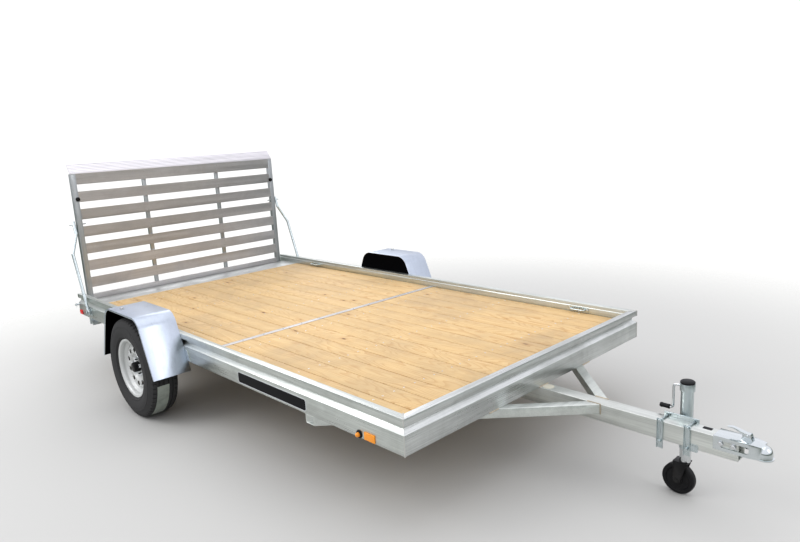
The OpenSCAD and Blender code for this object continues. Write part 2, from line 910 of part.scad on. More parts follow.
// Half of the fender's outline, inset by d, from the middle of the top to the lower edge
function fender_half(d) =
    let (cx = fender_top - fender_bend * tan(fender_slope / 2),
        cz = fender_z - fender_bend)
    concat(arc(cx, cz, fender_bend - d, 90, 90 - fender_slope, 8),
        [[fender_foot - d / sin(fender_slope), fender_foot_z]]);

// The fender's outline, inset by d, open at the foot
function fender_outline(d) =
    let (half = fender_half(d))
    concat(reversed([for (p = half) [-p[0], p[1]]]), half);

// A band of the fender's outline between two insets
module fender_band(d0, d1) {
    translate([axle_x, 0]) polygon(concat(fender_outline(d0), reversed(fender_outline(d1))));
}

module fender() {
    color("lightsteelblue") union() {
        slab_y(-fender_y, -rail_y) fender_band(0, sheet);
        slab_y(-fender_y, -fender_y + sheet) fender_band(0, fender_lip);
        slab_y(-rail_y - sheet, -rail_y) translate([axle_x, 0]) difference() {
            polygon(fender_outline(eps));
            translate([-fender_foot, 0]) square([2 * fender_foot, rail_z + skirt_up]);
        }
    }
}

module fender_right() {
    fender();
}

module fender_left() {
    mirror([0, 1, 0]) fender();
}

// Angle brackets that hold the fenders' feet to the rails
module fender_brackets() {
    thick = 6;
    along = 40;
    low = rail_z + 8;
    high = low + 70;
    edge_low = fender_foot - (low - fender_foot_z) / tan(fender_slope);
    edge_high = fender_foot - (high - fender_foot_z) / tan(fender_slope);
    color("gainsboro") both_sides() for (side = [0, 1]) translate([axle_x, 0, 0]) mirror([side, 0, 0])
        slab_y(-rail_y - thick, -rail_y) polygon([[edge_low, low], [edge_low + along, low],
            [edge_high + along, high], [edge_high, high]]);
}

// ---------------------------------------------------------------- tailgate

// Square tube up each side, and two stiffeners behind the slats
module gate_frame() {
    rear = gate_x - gate_bar_d / 2;
    out = -gate_y;
    in = -gate_y + gate_bar_w;
    pin_z = rail_top + prop_up;
    solid_foot = 30;
    pin_past = 30;
    color("silver") both_sides() {
        difference() {
            union() {
                block([rear, out, hinge_z], [gate_front, in, gate_top]);
                pin_y(gate_x, out, in, hinge_z, bar_foot);
            }
            block([rear + bar_wall, out + bar_wall, hinge_z + solid_foot],
                [gate_front - bar_wall, in - bar_wall, gate_top + 1]);
            pin_y(gate_x, out - 1, in + 1, hinge_z, hinge_r + run_fit);
        }
        block([rear, -stiffener_y - stiffener_w / 2, hinge_z - slat_foot],
            [gate_front - slat_d, -stiffener_y + stiffener_w / 2, gate_top]);
        // Pin that holds the prop. Its outer end stops short of the prop
        pin_y(gate_x, -prop_in_y + prop_r + move_gap, out + 1, pin_z, prop_pin_r);
        pin_y(gate_x, in - 1, in + pin_past, pin_z, prop_pin_r);
    }
}

// Channel slats, open to the rear
module gate_slats() {
    half = gate_y - gate_bar_w;
    color("tan") for (i = [0:slat_n - 1]) translate([0, 0, hinge_z - slat_foot + i * slat_pitch])
        difference() {
            block([gate_front - slat_d, -half, 0], [gate_front, half, slat_h]);
            block([gate_front - slat_d - 1, -half - 1, slat_wall],
                [gate_front - slat_wall, half + 1, slat_h - slat_wall]);
        }
}

// Ribbed plate bent to the rear along the gate's top
module gate_lip() {
    z = gate_top;
    foot_up = 6;
    foot_t = 3;
    edge_h = lip_t + 1;
    color("gainsboro") slab_y(-gate_y, gate_y)
        polygon([[gate_front, z], [gate_front, z + foot_up], [gate_front - lip_back, z + lip_up],
            [gate_front - lip_back, z + lip_up - edge_h], [gate_front - edge_h, z + foot_t],
            [gate_front - slat_d, z + foot_t], [gate_front - slat_d, z]]);
}

// Pins through the rails' ends, with the spacers that keep the gate off the rails
module gate_hinge_pins() {
    pin_out = 38;
    pin_short = 4;
    spacer_r = hinge_r + 6;
    spacer_gap = 3;
    color("gainsboro") both_sides() {
        pin_y(gate_x, -rail_y - pin_out, -gate_y + gate_bar_w - pin_short, hinge_z, hinge_r);
        pin_y(gate_x, -inner_y, -gate_y - spacer_gap, hinge_z, spacer_r);
    }
}

// ---------------------------------------------------------------- prop bars

module prop_brackets() {
    half_w = 26;
    half_h = 34;
    thick = 5;
    head_in = prop_out_y + prop_r + 3;
    head_t = 6;
    head_r = prop_pin_r + 5;
    color("gainsboro") both_sides() {
        block([prop_x - half_w, -rail_y - thick, prop_z - half_h], [prop_x + half_w, -rail_y,
            prop_z + half_h]);
        pin_y(prop_x, -head_in - head_t, -rail_y, prop_z, prop_pin_r);
        pin_y(prop_x, -head_in - head_t, -head_in, prop_z, head_r);
    }
}

// Bar on the rail's outer side that steps inward to the gate, built upright and then leaned back
module prop() {
    step_share = 0.67;
    bend = step_share * prop_l;
    step = 165;
    tail = 24;
    tip = 28;
    pin_past = 34;
    eye_r = prop_r + 5;
    knuckle = prop_r + 0.6;
    low = [0, -prop_out_y, bend];
    high = [0, -prop_in_y, bend + step];
    color("gainsboro") translate([prop_x, 0, prop_z]) rotate([0, -prop_lean, 0]) difference() {
        union() {
            pin_y(0, -prop_out_y - prop_r + 1, -prop_out_y + prop_r - 1, 0, eye_r);
            rod([0, -prop_out_y, -tail], low, prop_r);
            translate(low) sphere(r = knuckle);
            rod(low, high, prop_r);
            translate(high) sphere(r = knuckle);
            rod(high, [0, -prop_in_y, prop_l + tip], prop_r);
            // Outer end of the pin that holds the gate
            pin_y(0, -prop_in_y - pin_past, -prop_in_y, prop_l, prop_pin_r);
        }
        pin_y(0, -prop_out_y - 2 * eye_r, -prop_out_y + 2 * eye_r, 0, prop_pin_r + run_fit);
    }
}

module prop_right() {
    prop();
}

module prop_left() {
    mirror([0, 1, 0]) prop();
}

// ---------------------------------------------------------------- stabilisers

module stabiliser_brackets() {
    wall = stab_top_wall;
    side = stab_cheek + wall;
    pin_out = 6;
    low = stab_z - 24;
    out = -rail_y;
    in = -stab_y + 70;
    color("gainsboro") both_sides() union() {
        block([stab_x - side, out, rail_z - wall], [stab_x + side, in, rail_z]);
        for (x = [stab_x - side, stab_x + stab_cheek]) block([x, out, low], [x + wall, in, rail_z]);
        pin_x(stab_x - side - pin_out, stab_x + side + pin_out, -stab_y, stab_z, stab_pin_r);
    }
}

// Leg folded inward under the tail plate, on the right side
module stabiliser_leg() {
    half = stab_w / 2;
    foot_w = 64;
    foot_t = 6;
    foot_edge = 6;
    foot = -stab_y + stab_l;
    color("silver") difference() {
        union() {
            block([stab_x - half, -stab_y, stab_z - half], [stab_x + half, foot, stab_z + half]);
            pin_x(stab_x - half, stab_x + half, -stab_y, stab_z, half);
            block([stab_x - foot_w / 2, foot - foot_t, stab_z - half - foot_edge],
                [stab_x + foot_w / 2, foot, stab_z + half + foot_edge]);
        }
        pin_x(stab_x - half - 1, stab_x + half + 1, -stab_y, stab_z, stab_pin_r + run_fit);
    }
}

module stabiliser_leg_right() {
    stabiliser_leg();
}

module stabiliser_leg_left() {
    mirror([0, 1, 0]) stabiliser_leg();
}

// ---------------------------------------------------------------- nodes

side_rail_right();
side_rail_left();
front_rail();
tail_plate();
crossmembers();
deck_boards();
deck_strip();
tongue_beam();
tongue_brace_right();
tongue_brace_left();
coupler_body();
coupler_latch();
jack_clamp();
jack_bracket();
axle_beam();
torsion_arm_right();
torsion_arm_left();
fender_right();
fender_left();
fender_brackets();
prop_brackets();
gate_hinge_pins();
tie_down_loops();
amber_lights();
red_lights();
number_plate_bracket();
stabiliser_brackets();
tyre_right();
rim_right();
hub_right();
tyre_left();
rim_left();
hub_left();
gate_frame();
gate_slats();
gate_lip();
prop_right();
prop_left();
jack_tube();
jack_crank();
jack_leg();
jack_fork();
jack_wheel();
stabiliser_leg_right();
stabiliser_leg_left();
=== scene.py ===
"""Looks of a single-axle aluminium utility trailer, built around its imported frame.

Metres. +X points forward to the coupler, +Y to the left side, +Z up, and the origin is on the ground.
"""

from __future__ import annotations

import logging
import math
from dataclasses import dataclass, field
from enum import Enum
from typing import Any, Callable, Iterable, Sequence

import bmesh
import bpy
from mathutils import Matrix, Quaternion, Vector

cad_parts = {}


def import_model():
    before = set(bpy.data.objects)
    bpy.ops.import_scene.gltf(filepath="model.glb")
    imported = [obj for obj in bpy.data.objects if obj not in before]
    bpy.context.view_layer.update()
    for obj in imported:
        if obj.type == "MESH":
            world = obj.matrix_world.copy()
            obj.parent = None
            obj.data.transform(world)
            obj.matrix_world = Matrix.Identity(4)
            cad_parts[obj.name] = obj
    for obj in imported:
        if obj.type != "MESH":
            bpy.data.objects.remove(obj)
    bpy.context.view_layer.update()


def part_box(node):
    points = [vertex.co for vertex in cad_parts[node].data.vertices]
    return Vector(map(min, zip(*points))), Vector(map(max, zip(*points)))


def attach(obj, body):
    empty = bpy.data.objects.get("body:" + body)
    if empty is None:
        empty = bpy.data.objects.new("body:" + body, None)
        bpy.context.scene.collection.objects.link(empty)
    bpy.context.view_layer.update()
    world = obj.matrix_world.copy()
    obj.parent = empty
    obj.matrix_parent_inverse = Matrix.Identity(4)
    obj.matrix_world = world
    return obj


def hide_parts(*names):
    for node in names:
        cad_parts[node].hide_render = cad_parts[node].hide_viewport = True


LOG = logging.getLogger("trailer")
TINY = 1e-5

BMesh = bmesh.types.BMesh
Material = bpy.types.Material
Node = bpy.types.Node
NodeSocket = bpy.types.NodeSocket
NodeTree = bpy.types.NodeTree
Object = bpy.types.Object
Point = Sequence[float]
Outline = Sequence[Point]
Points = list[tuple[float, float]]


class Axis(Enum):
    """A direction of the row frame."""

    X = 0
    Y = 1
    Z = 2

    @property
    def unit(self) -> Vector:
        """The axis as a unit vector."""
        return Vector([1.0 if i == self.value else 0.0 for i in range(3)])

    def place(self, flat: Point, along: float) -> Vector:
        """Turns a flat point and a distance along the axis into a point in space.

        Args:
            flat: (y, z) for X, (x, z) for Y or (x, y) for Z.
            along: The distance along the axis.

        Returns:
            The point in the row frame.
        """
        values = list(flat)
        values.insert(self.value, along)
        return Vector(values)


class Side(Enum):
    """A side of the trailer."""

    RIGHT = -1
    LEFT = 1

    @property
    def word(self) -> str:
        """The side's name, as the nodes and bodies spell it."""
        return self.name.lower()


# ---------------------------------------------------------------- shader tools


def fill(tree: NodeTree, node: Node, inputs: dict[Any, Any]) -> None:
    """Links each input to a socket, or sets it to a plain value."""
    for key, value in inputs.items():
        if isinstance(value, NodeSocket):
            tree.links.new(value, node.inputs[key])
        else:
            node.inputs[key].default_value = value


def add_node(tree: NodeTree, kind: str, inputs: dict[Any, Any] | None = None, **settings: Any) -> Any:
    """Adds a node, sets its properties, and fills or links its inputs.

    Args:
        tree: The node tree.
        kind: The node's class name.
        inputs: Input name or number to a plain value, or to a socket to link.
        **settings: Properties of the node.

    Returns:
        The new node.
    """
    node = tree.nodes.new(kind)
    for name, value in settings.items():
        setattr(node, name, value)
    fill(tree, node, inputs or {})
    return node


def new_group(name: str, kind: str, inputs: dict[str, tuple[str, Any]], outputs: dict[str, str]) -> Any:
    """Makes a node group with named sockets.

    Args:
        name: The group's name.
        kind: "ShaderNodeTree" or "GeometryNodeTree".
        inputs: Input name to (socket type, such as "Float", and default value or None).
        outputs: Output name to socket type.

    Returns:
        (the tree, its input node, its output node).
    """
    tree = bpy.data.node_groups.new(name, kind)
    for title, (socket, value) in inputs.items():
        made = tree.interface.new_socket(title, in_out="INPUT", socket_type="NodeSocket" + socket)
        if value is not None:
            made.default_value = value
    for title, socket in outputs.items():
        tree.interface.new_socket(title, in_out="OUTPUT", socket_type="NodeSocket" + socket)
    return tree, tree.nodes.new("NodeGroupInput"), tree.nodes.new("NodeGroupOutput")


def grain_group() -> NodeTree:
    """Long fine streaks, as rolling and extruding leave. The vector comes already stretched along them."""
    tree, given, result = new_group(
        "Drawn grain", "ShaderNodeTree",
        {"Vector": ("Vector", None), "Scale": ("Float", 60.0)},
        {"Streak": "Float", "Height": "Float"},
    )
    vector, scale = given.outputs["Vector"], given.outputs["Scale"]
    fine = add_node(
        tree, "ShaderNodeTexNoise", {"Vector": vector, "Scale": scale, "Detail": 5.0, "Roughness": 0.7}
    )
    wide_scale = add_node(tree, "ShaderNodeMath", {0: scale, 1: 0.14}, operation="MULTIPLY")
    wide = add_node(
        tree, "ShaderNodeTexNoise", {"Vector": vector, "Scale": wide_scale.outputs[0], "Detail": 2.0}
    )
    both = add_node(
        tree, "ShaderNodeMix", {0: 0.45, 2: fine.outputs[0], 3: wide.outputs[0]}, data_type="FLOAT"
    )
    streak = add_node(
        tree, "ShaderNodeMapRange", {"Value": both.outputs[0], "From Min": 0.32, "From Max": 0.68},
        interpolation_type="SMOOTHSTEP",
    )
    tree.links.new(streak.outputs[0], result.inputs["Streak"])
    tree.links.new(fine.outputs[0], result.inputs["Height"])
    return tree


def film_group() -> NodeTree:
    """Uneven dust and handling dirt, as a mask from 0 to Amount."""
    tree, given, result = new_group(
        "Dust film", "ShaderNodeTree",
        {"Vector": ("Vector", None), "Scale": ("Float", 3.0), "Amount": ("Float", 0.3)},
        {"Mask": "Float"},
    )
    cloud = add_node(
        tree, "ShaderNodeTexNoise",
        {"Vector": given.outputs["Vector"], "Scale": given.outputs["Scale"], "Detail": 9.0, "Roughness": 0.66,
         "Distortion": 0.4},
    )
    shaped = add_node(
        tree, "ShaderNodeMapRange",
        {"Value": cloud.outputs[0], "From Min": 0.40, "From Max": 0.74, "To Max": given.outputs["Amount"]},
        interpolation_type="SMOOTHSTEP",
    )
    tree.links.new(shaped.outputs[0], result.inputs["Mask"])
    return tree


def scuff_group() -> NodeTree:
    """Thin wandering scuff lines in patches, as a mask from 0 to 1."""
    tree, given, result = new_group(
        "Scuff lines", "ShaderNodeTree",
        {"Vector": ("Vector", None), "Scale": ("Float", 9.0), "Width": ("Float", 0.012)},
        {"Mask": "Float"},
    )
    vector = given.outputs["Vector"]
    wander = add_node(
        tree, "ShaderNodeTexNoise",
        {"Vector": vector, "Scale": given.outputs["Scale"], "Detail": 2.0, "Distortion": 1.6},
    )
    centred = add_node(tree, "ShaderNodeMath", {0: wander.outputs[0], 1: 0.5}, operation="SUBTRACT")
    distance = add_node(tree, "ShaderNodeMath", {0: centred.outputs[0]}, operation="ABSOLUTE")
    line = add_node(
        tree, "ShaderNodeMapRange",
        {"Value": distance.outputs[0], "From Min": given.outputs["Width"], "From Max": 0.0},
    )
    patch = add_node(tree, "ShaderNodeTexNoise", {"Vector": vector, "Scale": 4.0, "Detail": 3.0})
    where = add_node(
        tree, "ShaderNodeMapRange", {"Value": patch.outputs[0], "From Min": 0.5, "From Max": 0.66}
    )
    both = add_node(tree, "ShaderNodeMath", {0: line.outputs[0], 1: where.outputs[0]}, operation="MULTIPLY")
    tree.links.new(both.outputs[0], result.inputs["Mask"])
    return tree


def mottle_group() -> NodeTree:
    """Soft blotches of tone, centred on 0.5."""
    tree, given, result = new_group(
        "Tone blotches", "ShaderNodeTree",
        {"Vector": ("Vector", None), "Scale": ("Float", 5.0)},
        {"Tone": "Float"},
    )
    cloud = add_node(
        tree, "ShaderNodeTexNoise",
        {"Vector": given.outputs["Vector"], "Scale": given.outputs["Scale"], "Detail": 5.0, "Roughness": 0.6},
    )
    tree.links.new(cloud.outputs[0], result.inputs["Tone"])
    return tree


GROUPS: dict[str, Callable[[], NodeTree]] = {
    "Drawn grain": grain_group,
    "Dust film": film_group,
    "Scuff lines": scuff_group,
    "Tone blotches": mottle_group,
}


@dataclass(frozen=True)
class Finish:
    """A surface finish. Each finish makes its material once."""

    name: str
    colour: tuple[float, float, float]
    roughness: float = 0.5

    def material(self) -> Material:
        """The finish as a material, made the first time that it's asked for."""
        found = bpy.data.materials.get(self.name)
        if found:
            return found
        made = bpy.data.materials.new(self.name)
        made.use_nodes = True
        self.dress(made.node_tree, made.node_tree.nodes["Principled BSDF"])
        return made

    def dress(self, tree: NodeTree, shader: Node) -> None:
        """Fills in the material's nodes.

        Args:
            tree: The material's node tree.
            shader: Its Principled BSDF node.
        """
        shader.inputs["Base Color"].default_value = (*self.colour, 1.0)
        shader.inputs["Roughness"].default_value = self.roughness

    @staticmethod
    def where(tree: NodeTree, stretch: Point = (1.0, 1.0, 1.0)) -> NodeSocket:
        """The surface's place on the piece, scaled by stretch."""
        place = tree.nodes.new("ShaderNodeTexCoord").outputs["Object"]
        return add_node(tree, "ShaderNodeMapping", {"Vector": place, "Scale": stretch}).outputs[0]

    @staticmethod
    def group(tree: NodeTree, name: str, inputs: dict[str, Any]) -> Node:
        """Places one of the shared effects in a material and fills its inputs."""
        shared = bpy.data.node_groups.get(name) or GROUPS[name]()
        node = add_node(tree, "ShaderNodeGroup", node_tree=shared)
        fill(tree, node, inputs)
        return node

    @staticmethod
    def blend(tree: NodeTree, share: Any, first: Any, second: Any) -> NodeSocket:
        """Mixes two colours, each a socket or three numbers, by a share."""
        inputs = {0: share}
        for key, value in ((6, first), (7, second)):
            inputs[key] = value if isinstance(value, NodeSocket) else (*value, 1.0)
        return add_node(tree, "ShaderNodeMix", inputs, data_type="RGBA").outputs[2]

    @staticmethod
    def ranged(tree: NodeTree, value: Any, low: float, high: float) -> NodeSocket:
        """Spreads a value from 0 to 1 over the range from low to high."""
        inputs = {"Value": value, "To Min": low, "To Max": high}
        return add_node(tree, "ShaderNodeMapRange", inputs).outputs[0]

    @staticmethod
    def bumped(tree: NodeTree, shader: Any, height: Any, strength: float, distance: float) -> None:
        """Feeds a height into the shader's normal through a bump node."""
        bump = add_node(
            tree, "ShaderNodeBump", {"Height": height, "Strength": strength, "Distance": distance}
        )
        tree.links.new(bump.outputs[0], shader.inputs["Normal"])


def shade(colour: Point, factor: float) -> tuple[float, ...]:
    """A colour made darker or lighter."""
    return tuple(min(1.0, c * factor) for c in colour)


@dataclass(frozen=True)
class Metal(Finish):
    """Bare metal with drawn grain along one axis, dust and scuffs."""

    grain: Axis = Axis.X
    grain_scale: float = 240.0
    contrast: float = 0.12
    dust: float = 0.35
    dust_colour: tuple[float, float, float] = (0.36, 0.35, 0.31)
    scuffs: float = 0.5
    relief: float = 0.12
    blotch: float = 0.45

    def dress(self, tree: NodeTree, shader: Node) -> None:
        """Streaks the colour and roughness along the grain, then lays dust and scuffs over them."""
        stretch = [0.02 if i == self.grain.value else 1.0 for i in range(3)]
        along = self.where(tree, stretch)
        drawn = self.group(tree, "Drawn grain", {"Vector": along, "Scale": self.grain_scale})
        plain = self.where(tree)
        film = self.group(tree, "Dust film", {"Vector": plain, "Scale": 2.6, "Amount": self.dust})
        scuff = self.group(tree, "Scuff lines", {"Vector": plain, "Scale": 7.0, "Width": 0.01})
        tone = self.group(tree, "Tone blotches", {"Vector": plain, "Scale": 1.7})
        streaked = self.blend(
            tree, drawn.outputs["Streak"], shade(self.colour, 1.0 - self.contrast),
            shade(self.colour, 1.0 + self.contrast),
        )
        patches = self.ranged(tree, tone.outputs[0], -0.5 * self.blotch, self.blotch)
        toned = self.blend(tree, patches, streaked, shade(self.colour, 0.72))
        dusty = self.blend(tree, film.outputs[0], toned, self.dust_colour)
        tree.links.new(dusty, shader.inputs["Base Color"])
        rough = self.ranged(tree, drawn.outputs["Streak"], self.roughness * 0.8, self.roughness * 1.25)
        marked = add_node(
            tree, "ShaderNodeMath", {0: scuff.outputs[0], 1: 0.25 * self.scuffs, 2: rough},
            operation="MULTIPLY_ADD",
        )
        clouded = add_node(
            tree, "ShaderNodeMath", {0: film.outputs[0], 1: 0.6, 2: marked.outputs[0]},
            operation="MULTIPLY_ADD", use_clamp=True,
        )
        tree.links.new(clouded.outputs[0], shader.inputs["Roughness"])
        tree.links.new(self.ranged(tree, film.outputs[0], 1.0, 0.45), shader.inputs["Metallic"])
        self.bumped(tree, shader, drawn.outputs["Height"], self.relief, 0.0004)


@dataclass(frozen=True)
class Coating(Finish):
    """Paint, plastic or rubber: one body colour with a fine texture, blotches, dust and scuffs."""

    texture: float = 320.0
    relief: float = 0.25
    depth: float = 0.0003
    dust: float = 0.3
    dust_colour: tuple[float, float, float] = (0.30, 0.28, 0.25)
    scuff_tone: float = 1.5
    coat: float = 0.0
    metallic: float = 0.0
    specular: float = 0.5

    def dress(self, tree: NodeTree, shader: Node) -> None:
        """Blotches the colour, adds dust and scuffs, and roughens the surface."""
        plain = self.where(tree)
        tone = self.group(tree, "Tone blotches", {"Vector": plain, "Scale": 9.0})
        film = self.group(tree, "Dust film", {"Vector": plain, "Scale": 4.5, "Amount": self.dust})
        scuff = self.group(tree, "Scuff lines", {"Vector": plain, "Scale": 12.0, "Width": 0.014})
        body = self.blend(tree, tone.outputs[0], shade(self.colour, 0.8), shade(self.colour, 1.2))
        worn = self.blend(tree, scuff.outputs[0], body, shade(self.colour, self.scuff_tone))
        tree.links.new(self.blend(tree, film.outputs[0], worn, self.dust_colour), shader.inputs["Base Color"])
        rough = self.ranged(tree, tone.outputs[0], self.roughness * 0.85, self.roughness * 1.15)
        clouded = add_node(
            tree, "ShaderNodeMath", {0: film.outputs[0], 1: 0.5, 2: rough}, operation="MULTIPLY_ADD",
            use_clamp=True,
        )
        tree.links.new(clouded.outputs[0], shader.inputs["Roughness"])
        shader.inputs["Metallic"].default_value = self.metallic
        shader.inputs["Coat Weight"].default_value = self.coat
        shader.inputs["Specular IOR Level"].default_value = self.specular
        grit = add_node(tree, "ShaderNodeTexNoise", {"Vector": plain, "Scale": self.texture, "Detail": 3.0})
        self.bumped(tree, shader, grit.outputs[0], self.relief, self.depth)


@dataclass(frozen=True)
class Timber(Finish):
    """Flat-sawn pine boards. Each board's own shift moves its rings, knots and tone."""

    late_wood: tuple[float, float, float] = (0.44, 0.22, 0.07)
    knot: tuple[float, float, float] = (0.13, 0.055, 0.02)
    grime: tuple[float, float, float] = (0.36, 0.27, 0.17)

    def dress(self, tree: NodeTree, shader: Node) -> None:
        """Draws growth rings, fine fibres, knots and grime on the boards."""
        place = tree.nodes.new("ShaderNodeTexCoord").outputs["Object"]
        shift = add_node(tree, "ShaderNodeAttribute", attribute_name="board_shift").outputs["Vector"]
        moved = add_node(tree, "ShaderNodeVectorMath", {0: place, 1: shift}, operation="ADD").outputs[0]

        def along(stretch: Point) -> NodeSocket:
            """The board's own place, scaled by stretch."""
            return add_node(tree, "ShaderNodeMapping", {"Vector": moved, "Scale": stretch}).outputs[0]

        bend = add_node(
            tree, "ShaderNodeTexNoise", {"Vector": along((0.55, 3.2, 1.0)), "Scale": 1.6, "Detail": 2.0}
        )
        rings = add_node(tree, "ShaderNodeMath", {0: bend.outputs[0], 1: 26.0}, operation="MULTIPLY")
        saw = add_node(tree, "ShaderNodeMath", {0: rings.outputs[0]}, operation="FRACT")
        ring = add_node(
            tree, "ShaderNodeMapRange", {"Value": saw.outputs[0], "From Min": 0.45, "From Max": 0.98},
            interpolation_type="SMOOTHSTEP",
        )
        fibre = self.group(tree, "Drawn grain", {"Vector": along((0.03, 1.0, 1.0)), "Scale": 150.0})
        soft = self.group(tree, "Tone blotches", {"Vector": along((0.35, 1.0, 1.0)), "Scale": 3.0})
        ring_share = add_node(
            tree, "ShaderNodeMath", {0: ring.outputs[0], 1: self.ranged(tree, soft.outputs[0], -0.35, 0.95)},
            operation="MULTIPLY", use_clamp=True,
        )
        base = self.blend(tree, soft.outputs[0], shade(self.colour, 0.82), shade(self.colour, 1.14))
        ringed = self.blend(tree, ring_share.outputs[0], base, self.late_wood)
        fibrous = self.blend(
            tree, self.ranged(tree, fibre.outputs["Streak"], 0.22, 0.0), ringed, shade(self.late_wood, 0.8)
        )
        cells = add_node(
            tree, "ShaderNodeTexVoronoi", {"Vector": along((1.0, 2.2, 1.0)), "Scale": 3.4, "Randomness": 1.0}
        )
        eye = add_node(
            tree, "ShaderNodeMapRange",
            {"Value": cells.outputs["Distance"], "From Min": 0.075, "From Max": 0.035},
        )
        halo = add_node(
            tree, "ShaderNodeMapRange",
            {"Value": cells.outputs["Distance"], "From Min": 0.2, "From Max": 0.05, "To Max": 0.5},
        )
        warm = self.blend(tree, halo.outputs[0], fibrous, self.late_wood)
        knotted = self.blend(tree, eye.outputs[0], warm, self.knot)
        film = self.group(tree, "Dust film", {"Vector": place, "Scale": 1.5, "Amount": 0.5})
        tree.links.new(self.blend(tree, film.outputs[0], knotted, self.grime), shader.inputs["Base Color"])
        shader.inputs["Roughness"].default_value = self.roughness
        relief = add_node(
            tree, "ShaderNodeMath", {0: ring_share.outputs[0], 1: 0.4, 2: fibre.outputs["Height"]},
            operation="MULTIPLY_ADD",
        )
        self.bumped(tree, shader, relief.outputs[0], 0.35, 0.0012)


@dataclass(frozen=True)
class Lens(Finish):
    """Clear tinted plastic over moulded prisms."""

    pitch: float = 260.0

    def dress(self, tree: NodeTree, shader: Node) -> None:
        """Paints each prism cell lighter at its middle and darker at its rim as painted glints, and bumps the
        cells.
        """
        place = self.where(tree)
        cells = add_node(
            tree, "ShaderNodeTexVoronoi", {"Vector": place, "Scale": self.pitch, "Randomness": 0.0}
        )
        share = self.ranged(tree, cells.outputs["Distance"], 0.0, 1.0)
        film = self.group(tree, "Dust film", {"Vector": place, "Scale": 20.0, "Amount": 0.2})
        # Painted glints: each prism cell is lighter at its middle and darker at its rim.
        prisms = self.blend(tree, share, shade(self.colour, 1.25), shade(self.colour, 0.7))
        tree.links.new(
            self.blend(tree, film.outputs[0], prisms, shade(self.colour, 0.6)), shader.inputs["Base Color"]
        )
        shader.inputs["Roughness"].default_value = self.roughness
        shader.inputs["Coat Weight"].default_value = 0.6
        self.bumped(tree, shader, cells.outputs["Distance"], 0.5, 0.001)


